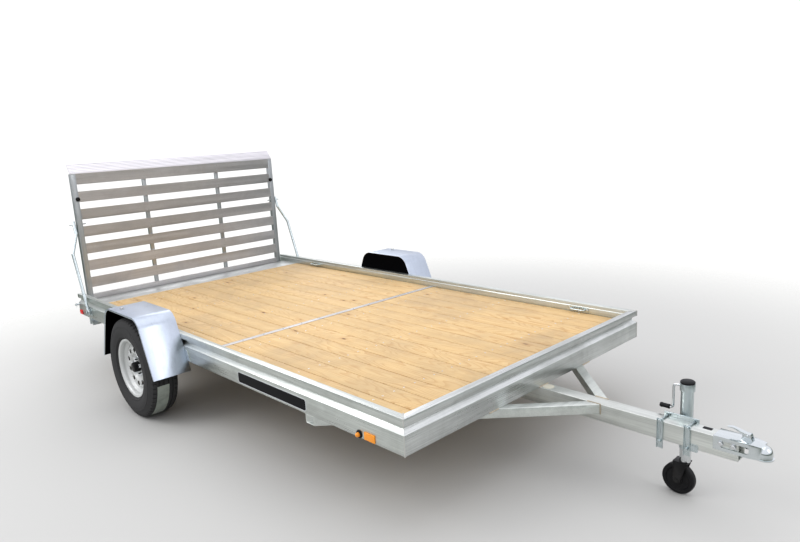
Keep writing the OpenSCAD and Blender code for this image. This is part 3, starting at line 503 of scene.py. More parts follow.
class Palette:
    """Every finish on the trailer."""

    RAIL = Metal("rail_extrusion", (0.66, 0.69, 0.66), 0.30, grain=Axis.X, contrast=0.2, dust=0.3,
                 dust_colour=(0.20, 0.21, 0.18))
    FRONT = Metal("front_extrusion", (0.66, 0.68, 0.67), 0.30, grain=Axis.Y, contrast=0.2, dust=0.3,
                  dust_colour=(0.20, 0.21, 0.18))
    TUBE = Metal("tongue_tube", (0.70, 0.72, 0.69), 0.34, grain=Axis.X, contrast=0.2, dust=0.3,
                 dust_colour=(0.24, 0.24, 0.20))
    FENDER = Metal("fender_sheet", (0.52, 0.57, 0.65), 0.34, grain=Axis.Z, contrast=0.08, dust=0.0,
                   scuffs=0.0, relief=0.03, blotch=0.08)
    SLAT = Metal("slat_extrusion", (0.58, 0.57, 0.57), 0.40, grain=Axis.Y, dust=0.2,
                 dust_colour=(0.20, 0.185, 0.17))
    LIP = Metal("lip_extrusion", (0.78, 0.76, 0.79), 0.36, grain=Axis.Y, dust=0.05, blotch=0.12)
    GATE = Metal("gate_bar", (0.45, 0.47, 0.48), 0.36, grain=Axis.Z, dust=0.3,
                 dust_colour=(0.16, 0.16, 0.15))
    WELD = Metal("weld_bead", (0.60, 0.60, 0.57), 0.30, grain=Axis.Z, dust=0.2, grain_scale=90.0)
    BURNT = Metal("burnt_weld", (0.56, 0.50, 0.40), 0.34, grain=Axis.Z, contrast=0.3, dust=0.3,
                  grain_scale=70.0, dust_colour=(0.26, 0.20, 0.13))
    ZINC = Metal("zinc_plate", (0.58, 0.64, 0.65), 0.28, grain=Axis.Z, contrast=0.05, dust=0.0, scuffs=0.0,
                 relief=0.02, blotch=0.15, grain_scale=90.0)
    STEEL = Metal("plated_bolts", (0.70, 0.72, 0.73), 0.20, grain=Axis.Z, contrast=0.06, dust=0.1,
                  relief=0.03)
    CHROME = Metal("lug_chrome", (0.80, 0.82, 0.84), 0.08, grain=Axis.Y, contrast=0.03, dust=0.0,
                   relief=0.0)
    TAIL = Metal("tail_extrusion", (0.68, 0.70, 0.69), 0.36, grain=Axis.Y)
    CROSS = Metal("cross_channel", (0.40, 0.42, 0.40), 0.42, grain=Axis.Y, dust=0.4,
                  dust_colour=(0.20, 0.19, 0.16))
    BRACE = Metal("brace_tube", (0.70, 0.73, 0.70), 0.36, grain=Axis.Y, dust=0.25,
                  dust_colour=(0.22, 0.22, 0.18))
    EDGE = Metal("fender_edge", (0.72, 0.78, 0.74), 0.16, grain=Axis.X, contrast=0.05, dust=0.0, relief=0.0)
    COUPLER = Metal("coupler_zinc", (0.66, 0.70, 0.71), 0.14, grain=Axis.X, contrast=0.05, dust=0.0,
                    scuffs=0.0, relief=0.02, blotch=0.12)
    CAP = Coating("hub_cap_black", (0.006, 0.006, 0.007), 0.32, texture=300.0, relief=0.05, dust=0.0,
                  specular=0.3)
    AXLE = Metal("galvanised_axle", (0.30, 0.32, 0.33), 0.5, grain=Axis.Y, contrast=0.08, dust=0.5,
                 relief=0.1, dust_colour=(0.14, 0.13, 0.11))
    RIM = Coating("rim_paint", (0.42, 0.42, 0.38), 0.26, texture=500.0, relief=0.06, dust=0.22, coat=0.2,
                  metallic=0.75, dust_colour=(0.10, 0.095, 0.08))
    BLACK = Coating("black_enamel", (0.010, 0.010, 0.011), 0.36, texture=180.0, relief=0.12, dust=0.08,
                    specular=0.3)
    # Near-black, almost unreflecting sheet for the fender's inside and its skirt: painted shade for the
    # shadow under the fender.
    UNDERCOAT = Coating("fender_undercoat", (0.003, 0.003, 0.004), 0.9, texture=90.0, relief=0.5, dust=0.0,
                        specular=0.03)
    RUBBER = Coating("tyre_rubber", (0.007, 0.007, 0.008), 0.65, texture=420.0, relief=0.2, dust=0.1,
                     dust_colour=(0.05, 0.046, 0.04), scuff_tone=1.6, specular=0.05)
    PLASTIC = Coating("moulded_black", (0.012, 0.012, 0.013), 0.45, texture=600.0, relief=0.2, dust=0.1,
                      dust_colour=(0.06, 0.06, 0.055), specular=0.25)
    DECAL = Coating("decal_black", (0.004, 0.004, 0.005), 0.3, texture=50.0, relief=0.02, dust=0.0,
                    specular=0.15)
    DECAL_EDGE = Coating("decal_edge", (0.62, 0.64, 0.66), 0.3, texture=50.0, relief=0.02, dust=0.1)
    CREAM = Coating("label_cream", (0.62, 0.60, 0.50), 0.5, texture=50.0, relief=0.05, dust=0.3,
                    dust_colour=(0.34, 0.30, 0.22))
    PAPER = Coating("tread_label", (0.34, 0.37, 0.33), 0.7, texture=60.0, relief=0.25, dust=0.7,
                    dust_colour=(0.10, 0.115, 0.095))
    PINE = Timber("pine_boards", (0.70, 0.51, 0.26), 0.62)
    AMBER = Lens("amber_lens", (0.95, 0.20, 0.01), 0.14)
    RED = Lens("red_lens", (0.72, 0.01, 0.01), 0.14)


# ---------------------------------------------------------------- mesh tools


def to_object(name: str, shape: BMesh, crease_deg: float = 35.0) -> Object:
    """Turns a bmesh into an object with outward faces and creases at sharp corners.

    Args:
        name: The object's name.
        shape: The bmesh, which is freed.
        crease_deg: Edges that bend more than this stay sharp.

    Returns:
        The new object, at the origin.
    """
    bmesh.ops.remove_doubles(shape, verts=shape.verts, dist=TINY)
    bmesh.ops.recalc_face_normals(shape, faces=shape.faces)
    mesh = bpy.data.meshes.new(name)
    bmesh.ops.connect_verts_concave(shape, faces=shape.faces)
    shape.to_mesh(mesh)
    shape.free()
    mesh.shade_smooth()
    mesh.set_sharp_from_angle(angle=math.radians(crease_deg))
    made = bpy.data.objects.new(name, mesh)
    bpy.context.scene.collection.objects.link(made)
    return made


def bake(piece: Object) -> None:
    """Turns the piece's live modifiers into plain mesh."""
    graph = bpy.context.evaluated_depsgraph_get()
    mesh = bpy.data.meshes.new_from_object(
        piece.evaluated_get(graph), preserve_all_data_layers=True, depsgraph=graph
    )
    piece.modifiers.clear()
    piece.data = mesh


def bevel(piece: Object, width: float, steps: int = 2, angle_deg: float = 30.0) -> Object:
    """Rounds the piece's sharp edges.

    Args:
        piece: The object.
        width: The bevel's width.
        steps: Segments in the bevel.
        angle_deg: Edges that bend more than this are rounded.

    Returns:
        The same object, baked.
    """
    rounding = piece.modifiers.new("rounding", "BEVEL")
    rounding.width = width
    rounding.segments = steps
    rounding.limit_method = "ANGLE"
    rounding.angle_limit = math.radians(angle_deg)
    rounding.miter_outer = "MITER_ARC"
    rounding.harden_normals = False
    bake(piece)
    shape = bmesh.new()
    shape.from_mesh(piece.data)
    many_sided = [face for face in shape.faces if len(face.verts) > 4]
    bmesh.ops.triangulate(shape, faces=many_sided, ngon_method="EAR_CLIP")
    shape.to_mesh(piece.data)
    shape.free()
    piece.data.shade_smooth()
    piece.data.set_sharp_from_angle(angle=math.radians(40.0))
    return piece


def softened(node: str, width: float, steps: int = 2) -> Object:
    """A copy of a CAD node with its doubled corners merged and its edges rounded.

    Args:
        node: The CAD node.
        width: The bevel's width.
        steps: Segments in the bevel.

    Returns:
        The copy, named after the node with _body.
    """
    shape = bmesh.new()
    shape.from_mesh(bpy.data.objects[node].data)
    bmesh.ops.remove_doubles(shape, verts=shape.verts, dist=TINY)
    bmesh.ops.dissolve_limit(
        shape, angle_limit=math.radians(0.6), verts=shape.verts, edges=shape.edges, delimit={"NORMAL"}
    )
    return bevel(to_object(node + "_body", shape), width, steps)


def prism(shape: BMesh, outline: Outline, axis: Axis, start: float, end: float) -> None:
    """Adds a closed prism: a flat outline carried along an axis."""
    rings = [[shape.verts.new(axis.place(p, along)) for p in outline] for along in (start, end)]
    shape.faces.new(rings[0])
    shape.faces.new(list(reversed(rings[1])))
    for i in range(len(outline)):
        j = (i + 1) % len(outline)
        shape.faces.new((rings[0][i], rings[0][j], rings[1][j], rings[1][i]))


def box(shape: BMesh, low: Point, high: Point) -> None:
    """Adds a closed block between two corners."""
    outline = [(low[0], low[1]), (high[0], low[1]), (high[0], high[1]), (low[0], high[1])]
    prism(shape, outline, Axis.Z, low[2], high[2])


def lathe(shape: BMesh, profile: Outline, steps: int, closed: bool = True) -> None:
    """Turns a (radius, along) profile about the Y axis through the origin.

    Args:
        shape: The bmesh to add to.
        profile: The profile's points. A radius of 0 is a pole.
        steps: Faces around.
        closed: Whether the last point joins the first.
    """
    rings = []
    for radius, along in profile:
        if radius < TINY:
            rings.append([shape.verts.new((0.0, along, 0.0))] * steps)
            continue
        ring = []
        for i in range(steps):
            angle = 2.0 * math.pi * i / steps
            ring.append(shape.verts.new((radius * math.cos(angle), along, radius * math.sin(angle))))
        rings.append(ring)
    pairs = list(zip(rings, rings[1:] + rings[:1])) if closed else list(zip(rings, rings[1:]))
    for first, second in pairs:
        for i in range(steps):
            j = (i + 1) % steps
            corners = list(dict.fromkeys((first[i], first[j], second[j], second[i])))
            if len(corners) > 2:
                shape.faces.new(corners)


def tube(shape: BMesh, path: Sequence[Point], radius: float, sides: int = 12) -> None:
    """Adds a round rod along a path, closed at both ends."""
    points = [Vector(p) for p in path]
    normal = (points[1] - points[0]).orthogonal().normalized()
    rings = []
    for i, point in enumerate(points):
        before = point - points[i - 1] if i else points[1] - point
        after = points[i + 1] - point if i + 1 < len(points) else before
        tangent = (before.normalized() + after.normalized()).normalized()
        normal = (normal - tangent * normal.dot(tangent)).normalized()
        across = tangent.cross(normal)
        inner = 0 < i < len(points) - 1
        stretch = 1.0 / max(0.5, tangent.dot(after.normalized())) if inner else 1.0
        ring = []
        for k in range(sides):
            angle = 2.0 * math.pi * k / sides
            offset = normal * math.cos(angle) + across * math.sin(angle)
            ring.append(shape.verts.new(point + offset * radius * stretch))
        rings.append(ring)
    for first, second in zip(rings, rings[1:]):
        for k in range(sides):
            j = (k + 1) % sides
            shape.faces.new((first[k], first[j], second[j], second[k]))
    shape.faces.new(list(reversed(rings[0])))
    shape.faces.new(rings[-1])


def arc(centre: Point, radius: float, start_deg: float, end_deg: float, steps: int) -> Points:
    """Points of a flat arc."""
    turn = (end_deg - start_deg) / steps
    angles = [math.radians(start_deg + turn * i) for i in range(steps + 1)]
    return [(centre[0] + radius * math.cos(a), centre[1] + radius * math.sin(a)) for a in angles]


def rounded_box(low: Point, high: Point, radius: float, steps: int = 5) -> Points:
    """The outline of a flat rectangle with round corners."""
    corners = [(high[0], high[1], 0), (low[0], high[1], 90), (low[0], low[1], 180), (high[0], low[1], 270)]
    points: Points = []
    for x, y, turn in corners:
        sign_x = -1 if x == high[0] else 1
        sign_y = -1 if y == high[1] else 1
        points += arc((x + sign_x * radius, y + sign_y * radius), radius, turn, turn + 90, steps)
    return points


def turned(shape: BMesh, axis: Vector, at: Point) -> None:
    """Turns what was made about +Z so that it stands along an axis, and moves it to a place."""
    rotation = Vector((0.0, 0.0, 1.0)).rotation_difference(axis).to_matrix().to_4x4()
    bmesh.ops.transform(shape, matrix=Matrix.Translation(Vector(at)) @ rotation, verts=shape.verts)


def aimed(shape: BMesh, at: Point, turn_deg: float, axis: Axis) -> None:
    """Turns a lathed shape about one axis and moves it to a place."""
    matrix = Matrix.Translation(Vector(at)) @ Matrix.Rotation(math.radians(turn_deg), 4, axis.name)
    bmesh.ops.transform(shape, matrix=matrix, verts=shape.verts)


def bolt(across: float, height: float, washer: float = 0.0) -> BMesh:
    """A hexagon head with a chamfered top, standing on a washer at the origin, along +Z."""
    shape = bmesh.new()
    base = 0.0
    if washer:
        base = 0.12 * across
        prism(shape, arc((0, 0), washer, 0, 345, 23), Axis.Z, 0.0, base)
    radius = across / math.sqrt(3.0)
    rings = [(radius, base), (radius, base + height * 0.82), (radius * 0.86, base + height)]
    loops = [[shape.verts.new((*p, z)) for p in arc((0, 0), r, 0, 300, 5)] for r, z in rings]
    for first, second in zip(loops, loops[1:]):
        for i in range(6):
            shape.faces.new((first[i], first[(i + 1) % 6], second[(i + 1) % 6], second[i]))
    shape.faces.new(list(reversed(loops[0])))
    shape.faces.new(loops[-1])
    return shape


def bolts(places: Iterable[tuple[Point, Vector]], across: float, height: float, washer: float) -> BMesh:
    """Hexagon heads at several places, each (place, outward axis)."""
    whole = bmesh.new()
    for at, axis in places:
        one = bolt(across, height, washer)
        turned(one, axis, at)
        merged(whole, one)
    return whole


def merged(whole: BMesh, part: BMesh) -> None:
    """Adds one bmesh to another and frees it."""
    mesh = bpy.data.meshes.new("part")
    part.to_mesh(mesh)
    part.free()
    whole.from_mesh(mesh)
    bpy.data.meshes.remove(mesh)


class Tree(Enum):
    """The repeating trees, by what they follow."""

    LINE = "Repeat on a line"
    RING = "Repeat on a ring"
    GRID = "Repeat on a grid"
    BEAD = "Weld bead"


class Repeater:
    """Builds the repeating trees and runs them on a small shape."""

    def __init__(self) -> None:
        """Sets up an empty store of trees."""
        self.trees: dict[Tree, NodeTree] = {}

    def tree(self, kind: Tree) -> NodeTree:
        """The tree of a kind, built once."""
        if kind not in self.trees:
            build = {Tree.LINE: self._line, Tree.RING: self._ring, Tree.GRID: self._grid,
                     Tree.BEAD: self._bead}
            self.trees[kind] = build[kind]()
        return self.trees[kind]

    @staticmethod
    def _close(tree: NodeTree, given: Any, result: Any, instances: Any, merge: bool = False) -> None:
        """Ends a tree: realizes the instances, joins touching corners if asked, and sets the material."""
        made = add_node(tree, "GeometryNodeRealizeInstances", {0: instances}).outputs[0]
        if merge:
            inputs = {"Geometry": made, "Distance": TINY}
            made = add_node(tree, "GeometryNodeMergeByDistance", inputs).outputs[0]
        dressed = add_node(
            tree, "GeometryNodeSetMaterial", {"Geometry": made, "Material": given.outputs["Material"]}
        )
        tree.links.new(dressed.outputs[0], result.inputs["Geometry"])

    def _line(self) -> NodeTree:
        """Copies along a line, each with its own random shift kept as an attribute."""
        tree, given, result = new_group(
            Tree.LINE.value, "GeometryNodeTree",
            {"Geometry": ("Geometry", None), "Count": ("Int", 2),
             "Step": ("Vector", None), "Seed": ("Int", 4),
             "Material": ("Material", None)},
            {"Geometry": "Geometry"},
        )
        line = add_node(
            tree, "GeometryNodeMeshLine", {"Count": given.outputs["Count"], "Offset": given.outputs["Step"]},
            mode="OFFSET",
        )
        placed = add_node(
            tree, "GeometryNodeInstanceOnPoints",
            {"Points": line.outputs[0], "Instance": given.outputs["Geometry"]},
        )
        shift = add_node(
            tree, "FunctionNodeRandomValue", {"Max": (7.0, 3.0, 2.0), "Seed": given.outputs["Seed"]},
            data_type="FLOAT_VECTOR",
        )
        kept = add_node(
            tree, "GeometryNodeStoreNamedAttribute",
            {"Geometry": placed.outputs[0], "Name": "board_shift", "Value": shift.outputs[0]},
            data_type="FLOAT_VECTOR", domain="INSTANCE",
        )
        self._close(tree, given, result, kept.outputs[0])
        return tree

    def _ring(self) -> NodeTree:
        """Copies turned about the Y axis through a centre, joined where they touch."""
        tree, given, result = new_group(
            Tree.RING.value, "GeometryNodeTree",
            {"Geometry": ("Geometry", None), "Count": ("Int", 5),
             "Centre": ("Vector", None), "Material": ("Material", None)},
            {"Geometry": "Geometry"},
        )
        line = add_node(
            tree, "GeometryNodeMeshLine",
            {"Count": given.outputs["Count"], "Start Location": given.outputs["Centre"],
             "Offset": (0.0, 0.0, 0.0)},
            mode="OFFSET",
        )
        index = tree.nodes.new("GeometryNodeInputIndex").outputs[0]
        share = add_node(tree, "ShaderNodeMath", {0: index, 1: given.outputs["Count"]}, operation="DIVIDE")
        turn = add_node(tree, "ShaderNodeMath", {0: share.outputs[0], 1: 2.0 * math.pi}, operation="MULTIPLY")
        euler = add_node(tree, "ShaderNodeCombineXYZ", {"Y": turn.outputs[0]})
        placed = add_node(
            tree, "GeometryNodeInstanceOnPoints",
            {"Points": line.outputs[0], "Instance": given.outputs["Geometry"], "Rotation": euler.outputs[0]},
        )
        self._close(tree, given, result, placed.outputs[0], merge=True)
        return tree

    def _grid(self) -> NodeTree:
        """Copies on a flat grid in X and Y."""
        tree, given, result = new_group(
            Tree.GRID.value, "GeometryNodeTree",
            {"Geometry": ("Geometry", None), "Length": ("Float", 1.0),
             "Width": ("Float", 1.0), "Rows": ("Int", 2), "Columns": ("Int", 2),
             "Centre": ("Vector", None), "Seed": ("Int", 9),
             "Material": ("Material", None)},
            {"Geometry": "Geometry"},
        )
        grid = add_node(
            tree, "GeometryNodeMeshGrid",
            {"Size X": given.outputs["Length"], "Size Y": given.outputs["Width"],
             "Vertices X": given.outputs["Rows"], "Vertices Y": given.outputs["Columns"]},
        )
        stray = add_node(
            tree, "FunctionNodeRandomValue",
            {"Min": (-0.003, -0.003, 0.0), "Max": (0.003, 0.003, 0.0), "Seed": given.outputs["Seed"]},
            data_type="FLOAT_VECTOR",
        )
        offset = add_node(
            tree, "ShaderNodeVectorMath", {0: stray.outputs[0], 1: given.outputs["Centre"]}, operation="ADD"
        )
        moved = add_node(
            tree, "GeometryNodeSetPosition", {"Geometry": grid.outputs[0], "Offset": offset.outputs[0]}
        )
        spin = add_node(
            tree, "FunctionNodeRandomValue", {"Max": (0.0, 0.0, 6.28), "Seed": given.outputs["Seed"]},
            data_type="FLOAT_VECTOR",
        )
        placed = add_node(
            tree, "GeometryNodeInstanceOnPoints",
            {"Points": moved.outputs[0], "Instance": given.outputs["Geometry"], "Rotation": spin.outputs[0]},
        )
        self._close(tree, given, result, placed.outputs[0])
        return tree

    def _bead(self) -> NodeTree:
        """Overlapping flattened drops along the edges of a wire mesh."""
        tree, given, result = new_group(
            Tree.BEAD.value, "GeometryNodeTree",
            {"Geometry": ("Geometry", None), "Radius": ("Float", 0.004),
             "Pitch": ("Float", 0.003), "Seed": ("Int", 2),
             "Material": ("Material", None)},
            {"Geometry": "Geometry"},
        )
        curve = add_node(tree, "GeometryNodeMeshToCurve", {"Mesh": given.outputs["Geometry"]})
        stepped = add_node(
            tree, "GeometryNodeResampleCurve", {"Curve": curve.outputs[0], "Length": given.outputs["Pitch"]},
            mode="LENGTH",
        )
        tangent = tree.nodes.new("GeometryNodeInputTangent").outputs[0]
        aim = add_node(tree, "FunctionNodeAlignRotationToVector", {"Vector": tangent}, axis="X")
        drop = add_node(
            tree, "GeometryNodeMeshUVSphere", {"Segments": 8, "Rings": 6, "Radius": given.outputs["Radius"]}
        )
        size = add_node(
            tree, "FunctionNodeRandomValue",
            {"Min": (0.75, 0.85, 0.85), "Max": (0.95, 1.1, 1.1), "Seed": given.outputs["Seed"]},
            data_type="FLOAT_VECTOR",
        )
        placed = add_node(
            tree, "GeometryNodeInstanceOnPoints",
            {"Points": stepped.outputs[0], "Instance": drop.outputs[0], "Rotation": aim.outputs[0],
             "Scale": size.outputs[0]},
        )
        smooth = add_node(tree, "GeometryNodeSetShadeSmooth", {0: placed.outputs[0]})
        self._close(tree, given, result, smooth.outputs[0])
        return tree

    def run(self, piece: Object, kind: Tree, finish: Finish, **inputs: Any) -> None:
        """Runs a tree on a piece and bakes what it makes.

        Args:
            piece: The small shape, or for a bead the wire that it follows.
            kind: The tree.
            finish: The material of the result.
            **inputs: The tree's inputs, by name.
        """
        tree = self.tree(kind)
        modifier = piece.modifiers.new(kind.value, "NODES")
        modifier.node_group = tree
        sockets = {item.name: item.identifier for item in tree.interface.items_tree if item.in_out == "INPUT"}
        modifier[sockets["Material"]] = finish.material()
        for name, value in inputs.items():
            modifier[sockets[name]] = value
        bake(piece)
        piece.data.set_sharp_from_angle(angle=math.radians(40.0))


REPEAT = Repeater()


# ---------------------------------------------------------------- workshop


@dataclass
class Workshop:
    """Dresses finished pieces, hands them over to the frame and counts them."""

    count: int = 0

    def publish(self, piece: Object, body: str, slot: str, finish: Finish | None = None,
                replaces: Sequence[str] = ()) -> None:
        """Gives a piece its finish and body, and hides the nodes that it stands for.

        Args:
            piece: The finished object.
            body: The CAD body that it rides on.
            slot: Not used.
            finish: Its material, unless it has one already.
            replaces: CAD nodes that it stands for.
        """
        if finish:
            piece.data.materials.clear()
            piece.data.materials.append(finish.material())
        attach(piece, body)
        if replaces:
            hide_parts(*replaces)
        self.count += 1
        LOG.info("%s rides on %s, %d faces", piece.name, body, len(piece.data.polygons))

    def soften(self, node: str, body: str, slot: str, finish: Finish, width: float, steps: int = 2) -> None:
        """Replaces a CAD node by its copy with rounded edges."""
        self.publish(softened(node, width, steps), body, slot, finish, [node])

    def fasten(self, name: str, places: Iterable[tuple[Point, Vector]],
               sizes: tuple[float, float, float]) -> None:
        """Puts plated hexagon heads at several places on the frame.

        Args:
            name: The piece's name.
            places: (place, outward axis) of each head.
            sizes: (width across flats, height, washer's radius).
        """
        self.publish(to_object(name, bolts(places, *sizes)), "frame", "bright_zinc", Palette.STEEL)

    def weld(self, name: str, body: str, slot: str, paths: Sequence[Sequence[Point]], radius: float,
             finish: Finish | None = None) -> None:
        """Lays weld beads along paths.

        Args:
            name: The piece's name.
            body: The body that it rides on.
            slot: The record's material slot.
            paths: One list of points for each bead.
            radius: The bead's radius.
            finish: The bead's finish, bright when left out.
        """
        wire = bmesh.new()
        for path in paths:
            corners = [wire.verts.new(p) for p in path]
            for first, second in zip(corners, corners[1:]):
                wire.edges.new((first, second))
        piece = to_object(name, wire)
        REPEAT.run(piece, Tree.BEAD, finish or Palette.WELD, Radius=radius, Pitch=radius * 0.75,
                   Seed=len(paths))
        self.publish(piece, body, slot)


def sided(shape: BMesh, side: Side) -> BMesh:
    """Mirrors what was drawn on the left side when it is wanted on the right."""
    if side is Side.RIGHT:
        for vert in shape.verts:
            vert.co.y = -vert.co.y
    return shape


def ribbon(shape: BMesh, outer: Outline, inner: Outline, start: float, end: float) -> None:
    """Adds a closed band between two open outlines in X and Z, from one Y to another."""
    corners = []
    for outline in (outer, inner):
        corners.append([[shape.verts.new((p[0], y, p[1])) for p in outline] for y in (start, end)])
    (outer_a, outer_b), (inner_a, inner_b) = corners
    for first, second in ((outer_a, outer_b), (outer_b, inner_b), (inner_b, inner_a), (inner_a, outer_a)):
        for i in range(len(first) - 1):
            shape.faces.new((first[i], first[i + 1], second[i + 1], second[i]))
    for i in (0, -1):
        shape.faces.new((outer_a[i], outer_b[i], inner_b[i], inner_a[i]))


def plate(outline: Outline, axis: Axis, start: float, end: float) -> BMesh:
    """A single prism as a new shape."""
    shape = bmesh.new()
    prism(shape, outline, axis, start, end)
    return shape


# ---------------------------------------------------------------- sub-assemblies


@dataclass
class Assembly:
    """A group of pieces that a workshop publishes."""

    shop: Workshop

    def build(self) -> None:
        """Builds and dresses every piece of the group."""
        raise NotImplementedError


@dataclass
class Bed(Assembly):
    """The welded bed: rails, crossmembers, tail plate, weld beads, decals and loops."""

    groove_top: float = 0.032
    groove_end: float = 0.076
    decal_front: float = 0.703
    decal_back: float = 1.342
    decal_top: float = 0.100
    decal_low: float = 0.158
    decal_round: float = 0.012
    decal_edge: float = 0.004
    members: int = 6
    member_w: float = 0.040
    plate_half: float = 0.075
    plate_up: float = 0.015
    plate_t: float = 0.004
    loop_half: float = 0.050
    loop_reach: float = 0.030
    loop_bend: float = 0.012
    loop_wire: float = 0.005
    bolt_out: float = 0.065

    def build(self) -> None:
        """Builds the bed."""
        for side in Side:
            self.shop.soften(f"side_rail_{side.word}", "frame", "rail_aluminium", Palette.RAIL, 0.0012)
            self.decal(side)
        self.shop.soften("front_rail", "frame", "rail_aluminium", Palette.FRONT, 0.0012)
        self.shop.soften("tail_plate", "frame", "rail_aluminium", Palette.TAIL, 0.0015)
        self.shop.soften("crossmembers", "frame", "tube_aluminium", Palette.CROSS, 0.0008, 1)
        self.shop.soften("number_plate_bracket", "frame", "tube_aluminium", Palette.ZINC, 0.0006, 1)
        self.shop.soften("gate_hinge_pins", "frame", "bright_zinc", Palette.ZINC, 0.0015)
        self.hinge_washers()
        self.corner_welds()
        self.cross_welds()
        self.loops()

    def corner_welds(self) -> None:
        """Beads along the mitred front corners."""
        low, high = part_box("front_rail")
        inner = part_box("tail_plate")[1].y
        paths = []
        for side in Side:
            outer_y, inner_y = side.value * high.y, side.value * inner
            paths.append([(high.x - 0.001, outer_y, high.z), (low.x, inner_y, high.z)])
            paths.append([(high.x, outer_y, high.z), (high.x, outer_y, high.z - self.groove_top)])
            paths.append([(high.x, outer_y, high.z - self.groove_end), (high.x, outer_y, low.z)])
        self.shop.weld("corner_welds", "frame", "rail_aluminium", paths, 0.0028)

    def cross_welds(self) -> None:
        """Beads where each crossmember meets the rails."""
        low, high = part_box("crossmembers")
        pitch = (high.x - low.x - self.member_w) / (self.members - 1)
        paths = []
        for i in range(self.members):
            for x in (high.x - i * pitch, high.x - i * pitch - self.member_w):
                for y in (low.y + 0.001, high.y - 0.001):
                    paths.append([(x, y, low.z), (x, y, high.z)])
        self.shop.weld("crossmember_welds", "frame", "rail_aluminium", paths, 0.003)

    def decal(self, side: Side) -> None:
        """A blank black decal with a pale outline on the rail's lower face."""
        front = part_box("front_rail")[1]
        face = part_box(f"side_rail_{side.word}")[0 if side is Side.RIGHT else 1].y
        low = (front.x - self.decal_back, front.z - self.decal_low)
        high = (front.x - self.decal_front, front.z - self.decal_top)
        for word, edge, thick, finish in (
            ("edge", self.decal_edge, 0.0005, Palette.DECAL_EDGE), ("field", 0.0, 0.0008, Palette.DECAL),
        ):
            outline = rounded_box(
                (low[0] - edge, low[1] - edge), (high[0] + edge, high[1] + edge), self.decal_round + edge
            )
            shape = plate(outline, Axis.Y, face, face + side.value * thick)
            piece = to_object(f"rail_decal_{word}_{side.word}", shape)
            self.shop.publish(piece, "frame", "black_steel", finish)

    def hinge_washers(self) -> None:
        """Washers and cotter pins on the hinge pins' outer ends."""
        low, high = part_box("gate_hinge_pins")
        x, z = (low.x + high.x) / 2.0, (low.z + high.z) / 2.0
        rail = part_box("side_rail_left")[1].y
        shape = bmesh.new()
        for side in Side:
            washer = bmesh.new()
            start = rail + 0.0005
            end = start + 0.003
            lathe(washer, [(0.0083, start), (0.016, start), (0.016, end), (0.0083, end)], 32)
            bmesh.ops.translate(washer, vec=(x, 0.0, z), verts=washer.verts)
            merged(shape, sided(washer, side))
            pin = bmesh.new()
            y = side.value * (high.y - 0.008)
            bent = [(0.0, -0.022), (0.0, 0.016), (0.004, 0.022), (0.01, 0.018)]
            tube(pin, [(x + dx, y, z + dz) for dx, dz in bent], 0.0016, 8)
            merged(shape, pin)
        self.shop.publish(to_object("hinge_cotters", shape), "frame", "bright_zinc", Palette.STEEL)

    def loops(self) -> None:
        """Plates with bent wire loops inside the side rails, with a bolt at each end of a plate."""
        low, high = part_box("tie_down_loops")
        z = (low.z + high.z) / 2.0
        half, bend = self.plate_half, self.loop_bend
        whole = bmesh.new()
        heads = []
        for x in (low.x + half, high.x - half):
            for side in Side:
                face = side.value * high.y
                inward = -side.value
                outline = rounded_box((x - half, z - self.plate_up), (x + half, z + self.plate_up), 0.008)
                prism(whole, outline, Axis.Y, face, face + inward * self.plate_t)
                left = [(x - self.loop_half + bend + p[0], face + inward * (self.loop_reach - bend + p[1]), z)
                        for p in arc((0.0, 0.0), bend, 180, 90, 5)]
                right = [(2 * x - p[0], p[1], p[2]) for p in reversed(left)]
                foot = face + inward * 0.001
                path = [(x - self.loop_half, foot, z), *left, *right, (x + self.loop_half, foot, z)]
                tube(whole, path, self.loop_wire, 14)
                for dx in (-self.bolt_out, self.bolt_out):
                    heads.append(((x + dx, face + inward * self.plate_t, z), Vector((0.0, inward, 0.0))))
        self.shop.publish(to_object("tie_down_rings", whole), "frame", "bright_zinc", Palette.ZINC,
                          ["tie_down_loops"])
        self.shop.fasten("tie_down_bolts", heads, (0.010, 0.004, 0.0075))


